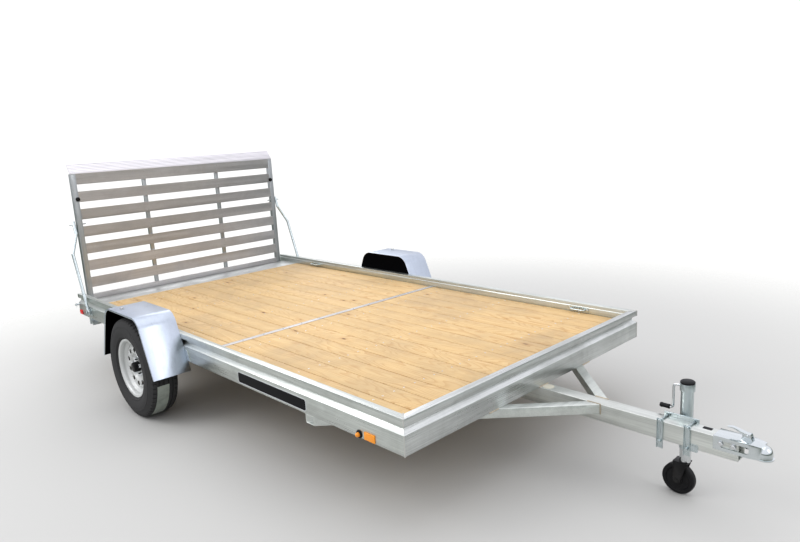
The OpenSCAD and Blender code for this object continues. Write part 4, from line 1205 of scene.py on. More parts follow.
@dataclass
class Deck(Assembly):
    """Pine boards with their screws, and the metal strip across them."""

    boards: int = 14
    gap: float = 0.004
    rows: int = 6
    screw_r: float = 0.0048
    screw_apart: float = 0.038
    member_half: float = 0.020
    strip_sink: float = 0.0004
    strip_inset: float = 0.019
    strip_pitch: float = 0.152
    strip_reach: int = 6

    def build(self) -> None:
        """Builds the deck."""
        low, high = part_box("deck_boards")
        pitch = (high.y - low.y + self.gap) / self.boards
        board = bmesh.new()
        box(board, low, (high.x, low.y + pitch - self.gap, high.z))
        piece = bevel(to_object("deck_planks", board), 0.003)
        REPEAT.run(piece, Tree.LINE, Palette.PINE, Count=self.boards, Step=(0.0, pitch, 0.0), Seed=11)
        self.shop.publish(piece, "frame", "deck_timber", None, ["deck_boards"])
        self.screws(low, high, pitch)
        self.strip()

    def screws(self, low: Vector, high: Vector, pitch: float) -> None:
        """Two screws a board over each crossmember."""
        cross_low, cross_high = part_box("crossmembers")
        centre_x = (cross_low.x + cross_high.x) / 2.0
        length = cross_high.x - cross_low.x - 2.0 * self.member_half
        middle = (low.y + high.y) / 2.0
        for word, shift in (("a", -self.screw_apart), ("b", self.screw_apart)):
            head = bmesh.new()
            profile = [(0.0, -0.0006), (0.0022, -0.0006), (0.0026, 0.0007), (self.screw_r - 0.0008, 0.0008),
                       (self.screw_r, 0.0), (self.screw_r - 0.0006, -0.002), (0.0, -0.002)]
            lathe(head, profile, 14, closed=False)
            aimed(head, (0.0, 0.0, 0.0), 90.0, Axis.X)
            piece = to_object(f"deck_screws_{word}", head)
            REPEAT.run(
                piece, Tree.GRID, Palette.STEEL, Length=length, Width=pitch * (self.boards - 1),
                Rows=self.rows, Columns=self.boards, Centre=(centre_x, middle + shift, high.z), Seed=21,
            )
            self.shop.publish(piece, "frame", "bright_zinc")

    def strip(self) -> None:
        """The strip over the boards' joint, with its screws."""
        low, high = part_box("deck_strip")
        top = high.z - self.strip_sink
        flat = bmesh.new()
        box(flat, low, (high.x, high.y, top))
        piece = bevel(to_object("deck_joint_strip", flat), 0.001)
        self.shop.publish(piece, "frame", "deck_timber", Palette.SLAT, ["deck_strip"])
        steps = range(-self.strip_reach, self.strip_reach + 1)
        heads = [((low.x + self.strip_inset, i * self.strip_pitch, top), Axis.Z.unit) for i in steps]
        self.shop.fasten("strip_screws", heads, (0.008, 0.002, 0.006))


@dataclass
class Tongue(Assembly):
    """The tongue and its braces, with welds, blank labels and the chain tab."""

    brace_w: float = 0.050
    label_t: float = 0.0006
    label_r: float = 0.030
    small_back: tuple[float, float] = (0.169, 0.129)
    small_across: tuple[float, float] = (0.006, 0.030)
    tab_back: tuple[float, float] = (0.215, 0.165)
    tab_up: tuple[float, float] = (-0.012, 0.022)
    tab_t: float = 0.004

    def build(self) -> None:
        """Builds the tongue."""
        self.shop.soften("tongue_beam", "frame", "tube_aluminium", Palette.TUBE, 0.003, 3)
        for side in Side:
            self.shop.soften(f"tongue_brace_{side.word}", "frame", "tube_aluminium", Palette.BRACE, 0.003, 3)
        self.welds()
        self.labels()
        self.tab()

    def welds(self) -> None:
        """Beads where the braces meet the tongue and pass under the front rail."""
        beam_low, beam_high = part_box("tongue_beam")
        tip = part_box("tongue_brace_right")[1].x
        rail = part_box("front_rail")[1].x
        foot = tip - self.brace_w * math.sqrt(2.0)
        low = beam_high.z - self.brace_w
        paths = []
        for side in Side:
            y = side.value * (beam_high.y + 0.001)
            for x in (tip, foot):
                paths.append([(x, y, low), (x, y, beam_high.z)])
            paths.append([(foot, y, beam_high.z), (tip, y, beam_high.z)])
            near = beam_high.y + (tip - rail)
            far = near + self.brace_w * math.sqrt(2.0)
            paths.append([(rail, side.value * near, beam_high.z), (rail, side.value * far, beam_high.z)])
        paths.append([(rail, beam_low.y, beam_high.z), (rail, beam_high.y, beam_high.z)])
        self.shop.weld("tongue_welds", "frame", "tube_aluminium", paths, 0.0034, Palette.BURNT)

    def labels(self) -> None:
        """Blank labels on the tongue's top: a round one and a small dark one."""
        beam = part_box("tongue_beam")[1]
        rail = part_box("front_rail")[1].x
        circle = arc((rail + self.label_r, 0.0), self.label_r, 0, 352, 44)
        disc = plate(circle, Axis.Z, beam.z, beam.z + self.label_t)
        self.shop.publish(to_object("tongue_round_label", disc), "frame", "black_steel", Palette.CREAM)
        (back, front), (near, far) = self.small_back, self.small_across
        outline = rounded_box((beam.x - back, near), (beam.x - front, far), 0.003)
        small = plate(outline, Axis.Z, beam.z, beam.z + self.label_t)
        self.shop.publish(to_object("tongue_small_label", small), "frame", "black_steel", Palette.DECAL)

    def tab(self) -> None:
        """The chain tab behind the coupler, a small plate with round corners."""
        low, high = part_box("tongue_beam")
        (back, front), (under, over) = self.tab_back, self.tab_up
        outline = rounded_box((high.x - back, low.z + under), (high.x - front, low.z + over), 0.008)
        shape = plate(outline, Axis.Y, low.y - self.tab_t, low.y)
        self.shop.publish(bevel(to_object("chain_tab", shape), 0.0008), "frame", "bright_zinc", Palette.ZINC)


@dataclass
class Coupler(Assembly):
    """The ball coupler with its latch, bolts and spring."""

    bolt_back: tuple[float, float] = (0.030, 0.082)
    bolt_drop: float = 0.025
    bolt_sink: float = 0.005
    turns: int = 6
    turn_steps: int = 12
    coil_r: float = 0.006
    coil_pitch: float = 0.0044
    coil_wire: float = 0.0011

    def build(self) -> None:
        """Builds the coupler."""
        self.shop.soften("coupler_body", "frame", "bright_zinc", Palette.COUPLER, 0.0010)
        self.shop.soften("coupler_latch", "frame", "bright_zinc", Palette.COUPLER, 0.0014, 3)
        low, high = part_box("coupler_body")
        y = high.y - self.bolt_sink
        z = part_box("tongue_beam")[1].z - self.bolt_drop
        places = []
        for side in Side:
            for back in self.bolt_back:
                places.append(((low.x + back, side.value * y, z), Axis.Y.unit * side.value))
        self.shop.fasten("coupler_bolts", places, (0.019, 0.010, 0.013))
        self.spring()

    def spring(self) -> None:
        """The latch's coil spring."""
        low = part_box("coupler_latch")[0]
        start = Vector((low.x + 0.058, 0.0, low.z + 0.018))
        path = []
        for i in range(self.turns * self.turn_steps + 1):
            angle = 2.0 * math.pi * i / self.turn_steps
            along = self.coil_pitch * i / self.turn_steps
            path.append(start + Vector((along, self.coil_r * math.cos(angle), self.coil_r * math.sin(angle))))
        shape = bmesh.new()
        tube(shape, path, self.coil_wire, 8)
        self.shop.publish(to_object("latch_spring", shape), "frame", "bright_zinc", Palette.STEEL)


@dataclass
class Jack(Assembly):
    """The swivel jack, its clamp, crank, leg, fork and wheel."""

    rod_r: float = 0.006
    rod_bend: float = 0.014
    rod_drop: float = 0.007
    arm_in: float = 0.062
    grip_in: float = 0.048
    nut_face: float = 0.008
    nut_in: float = 0.0145
    nut_clear: float = 0.006

    def build(self) -> None:
        """Builds the jack."""
        shop = self.shop
        shop.soften("jack_clamp", "frame", "bright_zinc", Palette.ZINC, 0.0010)
        shop.soften("jack_bracket", "frame", "bright_zinc", Palette.ZINC, 0.0015)
        shop.soften("jack_tube", "jack", "jack_steel", Palette.ZINC, 0.0012)
        shop.soften("jack_leg", "jack_inner_leg", "jack_steel", Palette.STEEL, 0.0008)
        shop.soften("jack_fork", "jack_caster", "black_steel", Palette.BLACK, 0.0012)
        shop.soften("jack_wheel", "jack_caster_wheel", "caster_plastic", Palette.PLASTIC, 0.0012)
        self.crank()
        self.cap()
        self.nuts()

    def crank(self) -> None:
        """The crank as one bent rod with a plastic grip."""
        low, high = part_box("jack_crank")
        y = (low.y + high.y) / 2.0
        arm_x, bend = low.x + self.arm_in, self.rod_bend
        top, grip_z = high.z - self.rod_drop, low.z + self.rod_r
        upper = [(arm_x + bend + p[0], top - bend + p[1]) for p in arc((0, 0), bend, 90, 180, 6)]
        lower = [(arm_x - bend + p[0], grip_z + bend + p[1]) for p in arc((0, 0), bend, 0, -90, 6)]
        path = [(high.x, y, top)] + [(p[0], y, p[1]) for p in upper + lower] + [(low.x, y, grip_z)]
        shape = bmesh.new()
        tube(shape, path, self.rod_r, 18)
        self.shop.publish(to_object("crank_rod", shape), "jack", "bright_zinc", Palette.STEEL, ["jack_crank"])
        grip = bmesh.new()
        profile = [(0.0, 0.0), (self.rod_r, 0.0), (0.010, 0.001), (0.0115, 0.004), (0.0105, 0.010),
                   (0.0105, 0.034), (0.0118, 0.042), (0.010, 0.047), (0.0, 0.048)]
        lathe(grip, profile, 24, closed=False)
        aimed(grip, (low.x + self.grip_in, y, grip_z), 90.0, Axis.Z)
        self.shop.publish(to_object("crank_grip", grip), "jack", "black_steel", Palette.PLASTIC)

    def cap(self) -> None:
        """A domed cap on the jack's head."""
        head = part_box("jack_tube")[1].z
        leg_low, leg_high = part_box("jack_leg")
        centre = (leg_low + leg_high) / 2.0
        shape = bmesh.new()
        profile = [(0.0, 0.0), (0.0315, 0.0), (0.0325, 0.002), (0.0325, 0.008), (0.029, 0.0115),
                   (0.018, 0.0135), (0.0, 0.014)]
        lathe(shape, profile, 48, closed=False)
        aimed(shape, (centre.x, centre.y, head - 0.0005), 90.0, Axis.X)
        self.shop.publish(to_object("jack_cap", shape), "jack", "black_steel", Palette.PLASTIC)

    def nuts(self) -> None:
        """Nuts on the clamp's bolts, on the swivel bracket's side."""
        low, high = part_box("jack_clamp")
        beam_low, beam_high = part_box("tongue_beam")
        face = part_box("jack_bracket")[0].y + self.nut_face
        places = []
        for x in (low.x + self.nut_in, high.x - self.nut_in):
            for z in (beam_high.z + self.nut_clear, beam_low.z - self.nut_clear):
                places.append(((x, face, z), Axis.Y.unit))
        self.shop.fasten("clamp_nuts", places, (0.015, 0.008, 0.011))


@dataclass
class Axle(Assembly):
    """The torsion axle with its arms and mounting bolts."""

    pad_t: float = 0.008
    bolt_in: float = 0.025
    bolt_across: tuple[float, float] = (0.020, 0.055)

    def build(self) -> None:
        """Builds the axle."""
        self.shop.soften("axle_beam", "frame", "axle_steel", Palette.AXLE, 0.003, 3)
        for side in Side:
            self.shop.soften(f"torsion_arm_{side.word}", "frame", "axle_steel", Palette.AXLE, 0.002)
        low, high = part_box("axle_beam")
        underside = high.z - self.pad_t
        places = []
        for side in Side:
            for x in (low.x + self.bolt_in, high.x - self.bolt_in):
                for inset in self.bolt_across:
                    places.append(((x, side.value * (high.y - inset), underside), -Axis.Z.unit))
        self.shop.fasten("axle_bolts", places, (0.017, 0.009, 0.012))


@dataclass
class Tyre:
    """A radial trailer tyre made from one pitch of its tread, in metres."""

    radius: float = 0.332
    pitches: int = 60
    groove: float = 0.0075
    half_tread: float = 0.082
    edges: tuple[float, ...] = (0.0, 0.011, 0.018, 0.032, 0.041, 0.048, 0.058, 0.070, 0.082)
    rows: tuple[float, ...] = (0.0, 0.17, 0.56, 1.0)
    grooves: tuple[int, ...] = (1, 4)
    sipe: int = 3
    lug: int = 6

    def crown(self, across: float) -> float:
        """The tread's radius at a distance from the middle plane."""
        share = abs(across) / self.half_tread
        return self.radius - 0.0022 * share ** 2 - 0.0068 * share ** 8

    def depth(self, row: int, column: int) -> float:
        """How deep a cell of the tread lies. Columns count outward from the middle plane."""
        if column in self.grooves:
            return self.groove
        if row == 0 and column >= self.lug:
            return self.groove * 0.85
        if row == 0 and column == self.sipe:
            return self.groove * 0.6
        return 0.0

    def side_profile(self) -> Points:
        """The outer sidewall from the shoulder to the bead, as (radius, across)."""
        def belly(*angles_deg: float) -> Points:
            """Points on the sidewall's bulge, counted from its widest place."""
            angles = [math.radians(a) for a in angles_deg]
            return [(0.260 + 0.042 * math.sin(a), 0.0873 + 0.014 * math.cos(a)) for a in angles]

        band = [(0.2845, 0.0988), (0.2840, 0.1004), (0.2740, 0.1010), (0.2735, 0.0996)]
        ring = [(0.216, 0.0925), (0.2145, 0.0938), (0.2115, 0.0935), (0.210, 0.0912)]
        return [(0.313, 0.0862), (0.303, 0.0905), *belly(52, 40), *band, *belly(8, -20, -45), *ring,
                (0.199, 0.0800), (0.196, 0.0745), (0.180, 0.0690)]

    def inner_profile(self) -> Points:
        """The hollow's wall, from bead to bead."""
        half = [(0.182, 0.060), (0.232, 0.086), (0.290, 0.088), (0.314, 0.068)]
        return half + [(r, -y) for r, y in reversed(half)]

    def pitch(self) -> BMesh:
        """One pitch of the tyre about the Y axis, from tread to hollow."""
        shape = bmesh.new()
        step = 2.0 * math.pi / self.pitches

        def at(share: float, across: float, radius: float) -> bmesh.types.BMVert:
            """A corner at a share of the pitch."""
            angle = step * share
            return shape.verts.new((radius * math.cos(angle), across, -radius * math.sin(angle)))

        def cell(row: int, column: int) -> tuple[float, float, float, float]:
            """(near across, near radius, far across, far radius) of a cell. The last column is the apron."""
            depth = self.depth(row, min(column, len(self.edges) - 2))
            near = self.edges[column]
            if column == len(self.edges) - 1:
                radius, across = self.side_profile()[0]
                return near, self.crown(near) - depth, across, radius
            far = self.edges[column + 1]
            return near, self.crown(near) - depth, far, self.crown(far) - depth

        def face(corners: list[tuple[float, float, float]]) -> None:
            """Adds a face, leaving out repeated corners."""
            unique = list(dict.fromkeys(corners))
            if len(unique) > 2:
                shape.faces.new([at(*corner) for corner in unique])

        last = len(self.edges) - 1
        for mirror in (1, -1):
            for row in range(len(self.rows) - 1):
                start, end = self.rows[row], self.rows[row + 1]
                for column in range(last + 1):
                    near, near_r, far, far_r = cell(row, column)
                    face([(start, mirror * near, near_r), (start, mirror * far, far_r),
                          (end, mirror * far, far_r), (end, mirror * near, near_r)])
                    after = cell((row + 1) % (len(self.rows) - 1), column)
                    if abs(after[1] - near_r) > TINY or abs(after[3] - far_r) > TINY:
                        face([(end, mirror * near, near_r), (end, mirror * far, far_r),
                              (end, mirror * far, after[3]), (end, mirror * near, after[1])])
                    if column < last:
                        beyond = cell(row, column + 1)
                        if abs(beyond[1] - far_r) > TINY:
                            face([(start, mirror * far, far_r), (end, mirror * far, far_r),
                                  (end, mirror * far, beyond[1]), (start, mirror * far, beyond[1])])
        outer = self.side_profile()
        whole = outer + self.inner_profile() + [(r, -y) for r, y in reversed(outer)]
        for row in range(len(self.rows) - 1):
            for first, second in zip(whole, whole[1:]):
                face([(self.rows[row], first[1], first[0]), (self.rows[row], second[1], second[0]),
                      (self.rows[row + 1], second[1], second[0]), (self.rows[row + 1], first[1], first[0])])
        return shape


@dataclass
class Wheel(Assembly):
    """A road wheel: tyre, painted rim, hub with its nuts, cap, valve and label."""

    side: Side = Side.RIGHT
    studs: int = 5
    stud_circle: float = 0.05715
    vents: int = 10
    vent_circle: float = 0.113
    vent_r: float = 0.016
    face: float = 0.0205
    disc_out: float = 0.025
    valve_at: Point = (0.100, 0.0, -0.091)
    tyre: Tyre = field(default_factory=Tyre)

    @property
    def centre(self) -> Vector:
        """The wheel's centre."""
        low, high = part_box(f"tyre_{self.side.word}")
        return (low + high) / 2.0

    def build(self) -> None:
        """Builds the wheel."""
        word, body = self.side.word, f"wheel_{self.side.word}"
        tread = to_object(f"tread_tyre_{word}", self.tyre.pitch(), 25.0)
        REPEAT.run(tread, Tree.RING, Palette.RUBBER, Count=self.tyre.pitches, Centre=self.centre)
        self.shop.publish(tread, body, "tyre_rubber", None, [f"tyre_{word}"])
        self.shop.soften(f"rim_{word}", body, "rim_paint", Palette.RIM, 0.0008, 1)
        self.hub(body)
        self.vent_lips(body)
        self.valve(body)
        if self.side is Side.RIGHT:
            self.label(body)

    def outward(self, profile: Outline) -> Points:
        """A (radius, outward) profile from the disc's plane, turned to the wheel's own side."""
        return [(radius, self.side.value * (self.disc_out + along)) for radius, along in profile]

    def moved(self, name: str, shape: BMesh) -> Object:
        """An object from a shape drawn about the wheel's centre."""
        bmesh.ops.translate(shape, vec=self.centre, verts=shape.verts)
        return to_object(name, shape)

    def hub(self, body: str) -> None:
        """The drum, the nuts on their studs and the black cap."""
        drum = bmesh.new()
        profile = [(0.0, -0.0735), (0.034, -0.0735), (0.038, -0.070), (0.038, -0.012), (0.041, -0.010),
                   (0.070, -0.010), (0.072, -0.008), (0.072, 0.0), (0.034, 0.0), (0.032, 0.002),
                   (0.032, 0.020), (0.0, 0.021)]
        lathe(drum, self.outward(profile), 64, closed=False)
        self.shop.publish(self.moved(f"hub_drum_{self.side.word}", drum), body, "hub_steel", Palette.STEEL,
                          [f"hub_{self.side.word}"])
        cap = bmesh.new()
        dome = [(0.0325, 0.004), (0.0345, 0.006), (0.0335, 0.014), (0.0325, 0.036), (0.030, 0.0425),
                (0.024, 0.0455), (0.012, 0.046), (0.0, 0.046)]
        lathe(cap, self.outward([(0.0, 0.004), *dome]), 64, closed=False)
        self.shop.publish(self.moved(f"hub_cap_{self.side.word}", cap), body, "black_steel", Palette.CAP)
        nut = bolt(0.021, 0.022, 0.0)
        turned(nut, Axis.Y.unit * self.side.value,
               (0.0, self.side.value * (self.disc_out + 0.0055), self.stud_circle))
        seat = bmesh.new()
        cone = [(0.0, 0.003), (0.0125, 0.0035), (0.0125, 0.0052), (0.010, 0.0075), (0.0, 0.0075)]
        lathe(seat, self.outward(cone), 20, closed=False)
        bmesh.ops.translate(seat, vec=(0.0, 0.0, self.stud_circle), verts=seat.verts)
        merged(nut, seat)
        nuts = to_object(f"wheel_nuts_{self.side.word}", nut)
        REPEAT.run(nuts, Tree.RING, Palette.CHROME, Count=self.studs, Centre=self.centre)
        self.shop.publish(nuts, body, "hub_steel")

    def vent_lips(self, body: str) -> None:
        """Pressed lips around the rim's vents."""
        lip = bmesh.new()
        profile = [(self.vent_r + 0.0022 + 0.0022 * math.cos(a), self.face + 0.0012 * math.sin(a))
                   for a in [2.0 * math.pi * i / 8.0 for i in range(8)]]
        lathe(lip, self.outward(profile), 28)
        angle = math.pi / self.vents
        shift = (self.vent_circle * math.sin(angle), 0.0, self.vent_circle * math.cos(angle))
        bmesh.ops.translate(lip, vec=shift, verts=lip.verts)
        piece = to_object(f"rim_vent_lips_{self.side.word}", lip)
        REPEAT.run(piece, Tree.RING, Palette.RIM, Count=self.vents, Centre=self.centre)
        self.shop.publish(piece, body, "rim_paint")

    def valve(self, body: str) -> None:
        """The rubber valve stem near the rim's edge."""
        stem = bmesh.new()
        profile = [(0.0, 0.0), (0.0075, 0.0), (0.0068, 0.010), (0.0045, 0.014), (0.0042, 0.030),
                   (0.0046, 0.031), (0.0046, 0.040), (0.0, 0.041)]
        lathe(stem, self.outward(profile), 18, closed=False)
        bmesh.ops.translate(stem, vec=self.valve_at, verts=stem.verts)
        piece = self.moved(f"valve_stem_{self.side.word}", stem)
        self.shop.publish(piece, body, "black_steel", Palette.RUBBER)

    def label(self, body: str) -> None:
        """A blank paper strip stuck round the tread."""
        radius, thick, steps = self.tyre.radius + 0.0004, 0.0006, 24
        near, far = -0.0575, 0.0205
        start, end = math.radians(10.0), math.radians(60.0)
        shape = bmesh.new()
        rings = []
        for i in range(steps + 1):
            angle = start + (end - start) * i / steps
            ring = []
            for r, y in ((radius, near), (radius + thick, near), (radius + thick, far), (radius, far)):
                ring.append(shape.verts.new((r * math.cos(angle), y, -r * math.sin(angle))))
            rings.append(ring)
        for first, second in zip(rings, rings[1:]):
            for k in range(4):
                j = (k + 1) % 4
                shape.faces.new((first[k], first[j], second[j], second[k]))
        shape.faces.new(rings[0])
        shape.faces.new(list(reversed(rings[-1])))
        self.shop.publish(self.moved("tread_label", shape), body, "tyre_rubber", Palette.PAPER)


@dataclass
class Fender(Assembly):
    """A folded sheet fender with a rolled edge, a near-black sheet inside it as painted shade, a skirt and a
    bolt.
    """

    side: Side = Side.RIGHT
    top_half: float = 0.250
    bend: float = 0.105
    sheet: float = 0.003
    lip: float = 0.012
    skirt: float = 0.040
    flat: float = 0.003
    tuck: float = 0.0002
    bead_r: float = 0.0022
    bolt_back: float = 0.322
    bolt_in: float = 0.050

    def outline(self, inset: float) -> Points:
        """The fender's outline in X and Z, set in from its outer face."""
        low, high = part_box(f"fender_{self.side.word}")
        centre, foot = (low.x + high.x) / 2.0, (high.x - low.x) / 2.0
        slope = math.atan2(high.z - low.z, foot - self.top_half)
        cx = self.top_half - self.bend * math.tan(slope / 2.0)
        half = arc((cx, high.z - self.bend), self.bend - inset, 90, 90 - math.degrees(slope), 20)
        half.insert(0, (cx - self.flat, high.z - inset))
        end, tip = Vector(half[-1]), Vector((foot - inset / math.sin(slope), low.z))
        down = (tip - end).normalized() * self.flat
        half += [tuple(end + down), tuple(tip - down), tuple(tip)]
        return [(centre - x, z) for x, z in reversed(half)] + [(centre + x, z) for x, z in half]

    def build(self) -> None:
        """Builds the fender."""
        word = self.side.word
        low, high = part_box(f"fender_{word}")
        outer, inner = (low.y, high.y) if self.side is Side.RIGHT else (high.y, low.y)
        shell = bmesh.new()
        ribbon(shell, self.outline(0.0), self.outline(self.sheet), outer, inner)
        edge = outer - self.side.value * self.tuck
        end = edge - self.side.value * self.sheet
        ribbon(shell, self.outline(self.sheet / 2.0), self.outline(self.lip), edge, end)
        piece = bevel(to_object(f"fender_shell_{word}", shell), 0.0012, 2, 50.0)
        self.shop.publish(piece, "frame", "fender_aluminium", Palette.FENDER, [f"fender_{word}"])
        self.inside(outer, inner)

    def inside(self, outer: float, inner: float) -> None:
        """The near-black sheet under the fender as painted shade, the rolled edge, the skirt in the same
        painted shade, and the bolt.
        """
        word, sign = self.side.word, self.side.value
        # Painted shade: a near-black sheet laid just inside the fender, where its shadow falls.
        coat = bmesh.new()
        ribbon(coat, self.outline(self.sheet - 0.0002), self.outline(self.sheet + 0.0006),
               outer - sign * (self.sheet + 0.0005), inner + sign * 0.0005)
        self.shop.publish(to_object(f"fender_coat_{word}", coat), "frame", "black_steel", Palette.UNDERCOAT)
        bead = bmesh.new()
        path = [(x, outer - sign * (self.bead_r + self.tuck), z) for x, z in self.outline(self.lip - 0.001)]
        tube(bead, path, self.bead_r, 10)
        self.shop.publish(to_object(f"fender_edge_{word}", bead), "frame", "fender_aluminium", Palette.EDGE)
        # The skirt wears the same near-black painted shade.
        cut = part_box(f"side_rail_{word}")[0].z + self.skirt
        outline = self.clipped(self.outline(self.sheet), cut)
        skirt = plate(outline, Axis.Y, inner, inner + sign * self.sheet)
        self.shop.publish(to_object(f"fender_skirt_{word}", skirt), "frame", "black_steel", Palette.UNDERCOAT)
        low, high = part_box(f"fender_{word}")
        place = (low.x + self.bolt_back, outer - sign * self.bolt_in, high.z)
        self.shop.fasten(f"fender_bolt_{word}", [(place, Axis.Z.unit)], (0.020, 0.012, 0.015))

    @staticmethod
    def clipped(outline: Points, level: float) -> Points:
        """An outline open at the foot, cut off at a level."""
        kept = [point for point in outline if point[1] > level]
        ends = []
        for first, second in ((outline[0], kept[0]), (outline[-1], kept[-1])):
            share = (level - first[1]) / (second[1] - first[1])
            ends.append((first[0] + share * (second[0] - first[0]), level))
        return [ends[0], *kept, ends[1]]


@dataclass
class Tailgate(Assembly):
    """The ramp tailgate: ribbed slats and lip, side bars, rivets and bumpers."""

    slats: int = 8
    slat_h: float = 0.086
    wall: float = 0.0035
    rib: float = 0.0024
    ribs: int = 8
    stiffener_y: float = 0.350
    rivet_up: tuple[float, float] = (0.022, 0.064)
    bumper_up: float = 0.885
    bumper_in: float = 0.037

    def build(self) -> None:
        """Builds the tailgate."""
        self.shop.soften("gate_frame", "tailgate", "gate_aluminium", Palette.GATE, 0.0018)
        self.slat_stack()
        self.top_lip()
        self.rivets()
        self.bumpers()

    @staticmethod
    def ridged(start: Vector, end: Vector, count: int, height: float, flat: float) -> Points:
        """A row of trapezoid ridges between two flat points, standing out to the right of the way along."""
        run = end - start
        out = Vector((run.y, -run.x)).normalized() * height
        points = []
        for i in range(count):
            for share, lift in ((0.0, 0.0), (0.5 - flat, 0.0), (0.62 - flat / 2.0, 1.0), (0.94, 1.0)):
                point = start + run * ((i + share) / count) + out * lift
                points.append((point.x, point.y))
        return points

    def slat_stack(self) -> None:
        """Eight ribbed channel slats."""
        low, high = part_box("gate_slats")
        face, back = high.x - self.rib, low.x
        top = low.z + self.slat_h
        edge = 0.006
        upper, lower = Vector((face, top - edge)), Vector((face, low.z + edge))
        front = self.ridged(upper, lower, self.ribs, -self.rib, 0.2)
        section = [(back, top), (face + self.rib, top), (face + self.rib, top - edge + 0.001), *front,
                   (face, low.z + edge), (face + self.rib, low.z + edge - 0.001), (face + self.rib, low.z),
                   (back, low.z), (back, low.z + self.wall), (face - self.wall, low.z + self.wall),
                   (face - self.wall, top - self.wall), (back, top - self.wall)]
        shape = plate(section, Axis.Y, low.y, high.y)
        piece = to_object("ribbed_slats", shape, 20.0)
        step = (high.z - low.z - self.slat_h) / (self.slats - 1)
        REPEAT.run(piece, Tree.LINE, Palette.SLAT, Count=self.slats, Step=(0.0, 0.0, step), Seed=3)
        piece.data.set_sharp_from_angle(angle=math.radians(20.0))
        self.shop.publish(piece, "tailgate", "gate_aluminium", None, ["gate_slats"])

    def top_lip(self) -> None:
        """The ribbed plate bent to the rear."""
        low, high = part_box("gate_lip")
        thick, foot = 0.005, 0.006
        start, end = Vector((high.x, low.z + foot)), Vector((low.x, high.z))
        lean = (end - start).normalized()
        out = Vector((lean.y, -lean.x))
        rib, ease = 0.0026, lean * 0.003
        face = self.ridged(start + ease - out * rib, end - ease - out * rib, 6, rib, 0.2)
        under = Vector((-lean.y, lean.x)) * thick
        section = [(high.x, low.z), (high.x, low.z + foot), *face, (end.x, end.y),
                   (end.x, end.y - thick - 0.001), (start.x + under.x - 0.001, start.y - 0.003),
                   (high.x - 0.020, low.z + 0.003), (high.x - 0.020, low.z)]
        piece = to_object("ribbed_lip", plate(section, Axis.Y, low.y, high.y), 20.0)
        self.shop.publish(piece, "tailgate", "gate_aluminium", Palette.LIP, ["gate_lip"])

    def rivets(self) -> None:
        """Two rivets a slat where the stiffeners cross it."""
        low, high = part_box("gate_slats")
        step = (high.z - low.z - self.slat_h) / (self.slats - 1)
        shape = bmesh.new()
        profile = [(0.0, -0.001), (0.0048, 0.0), (0.0042, 0.0013), (0.002, 0.0021), (0.0, 0.0023)]
        for y in (-self.stiffener_y, self.stiffener_y):
            for up in self.rivet_up:
                head = bmesh.new()
                lathe(head, profile, 14, closed=False)
                aimed(head, (high.x - self.rib, y, low.z + up), -90.0, Axis.Z)
                merged(shape, head)
        piece = to_object("slat_rivets", shape)
        REPEAT.run(piece, Tree.LINE, Palette.STEEL, Count=self.slats, Step=(0.0, 0.0, step), Seed=5)
        self.shop.publish(piece, "tailgate", "gate_aluminium")

    def bumpers(self) -> None:
        """Round rubber bumpers on the side bars' front faces."""
        low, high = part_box("gate_frame")
        profile = [(0.0, 0.0), (0.017, 0.0), (0.018, 0.002), (0.015, 0.013), (0.012, 0.015), (0.004, 0.0155),
                   (0.003, 0.012), (0.0, 0.012)]
        shape = bmesh.new()
        for y in (low.y + self.bumper_in, high.y - self.bumper_in):
            one = bmesh.new()
            lathe(one, profile, 28, closed=False)
            aimed(one, (high.x - 0.001, y, low.z + self.bumper_up), -90.0, Axis.Z)
            merged(shape, one)
        self.shop.publish(to_object("gate_bumpers", shape), "tailgate", "black_steel", Palette.PLASTIC)


@dataclass
class Supports(Assembly):
    """Prop bars, stabilisers, brackets and their rivets."""

    plate_t: float = 0.005
    rivet_in: float = 0.010

    def build(self) -> None:
        """Builds the supports."""
        shop = self.shop
        shop.soften("prop_brackets", "frame", "bright_zinc", Palette.ZINC, 0.0012)
        shop.soften("fender_brackets", "frame", "bright_zinc", Palette.ZINC, 0.0008, 1)
        shop.soften("stabiliser_brackets", "frame", "bright_zinc", Palette.ZINC, 0.0012)
        for side in Side:
            shop.soften(f"prop_{side.word}", f"prop_bar_{side.word}", "bright_zinc", Palette.ZINC, 0.0008)
            shop.soften(f"stabiliser_leg_{side.word}", f"stabiliser_{side.word}", "tube_aluminium",
                        Palette.GATE, 0.002)
        low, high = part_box("prop_brackets")
        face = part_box("side_rail_left")[1].y + self.plate_t
        places = []
        for side in Side:
            for x in (low.x + self.rivet_in, high.x - self.rivet_in):
                for z in (low.z + self.rivet_in, high.z - self.rivet_in):
                    places.append(((x, side.value * face, z), Axis.Y.unit * side.value))
        shop.fasten("bracket_rivets", places, (0.009, 0.004, 0.006))


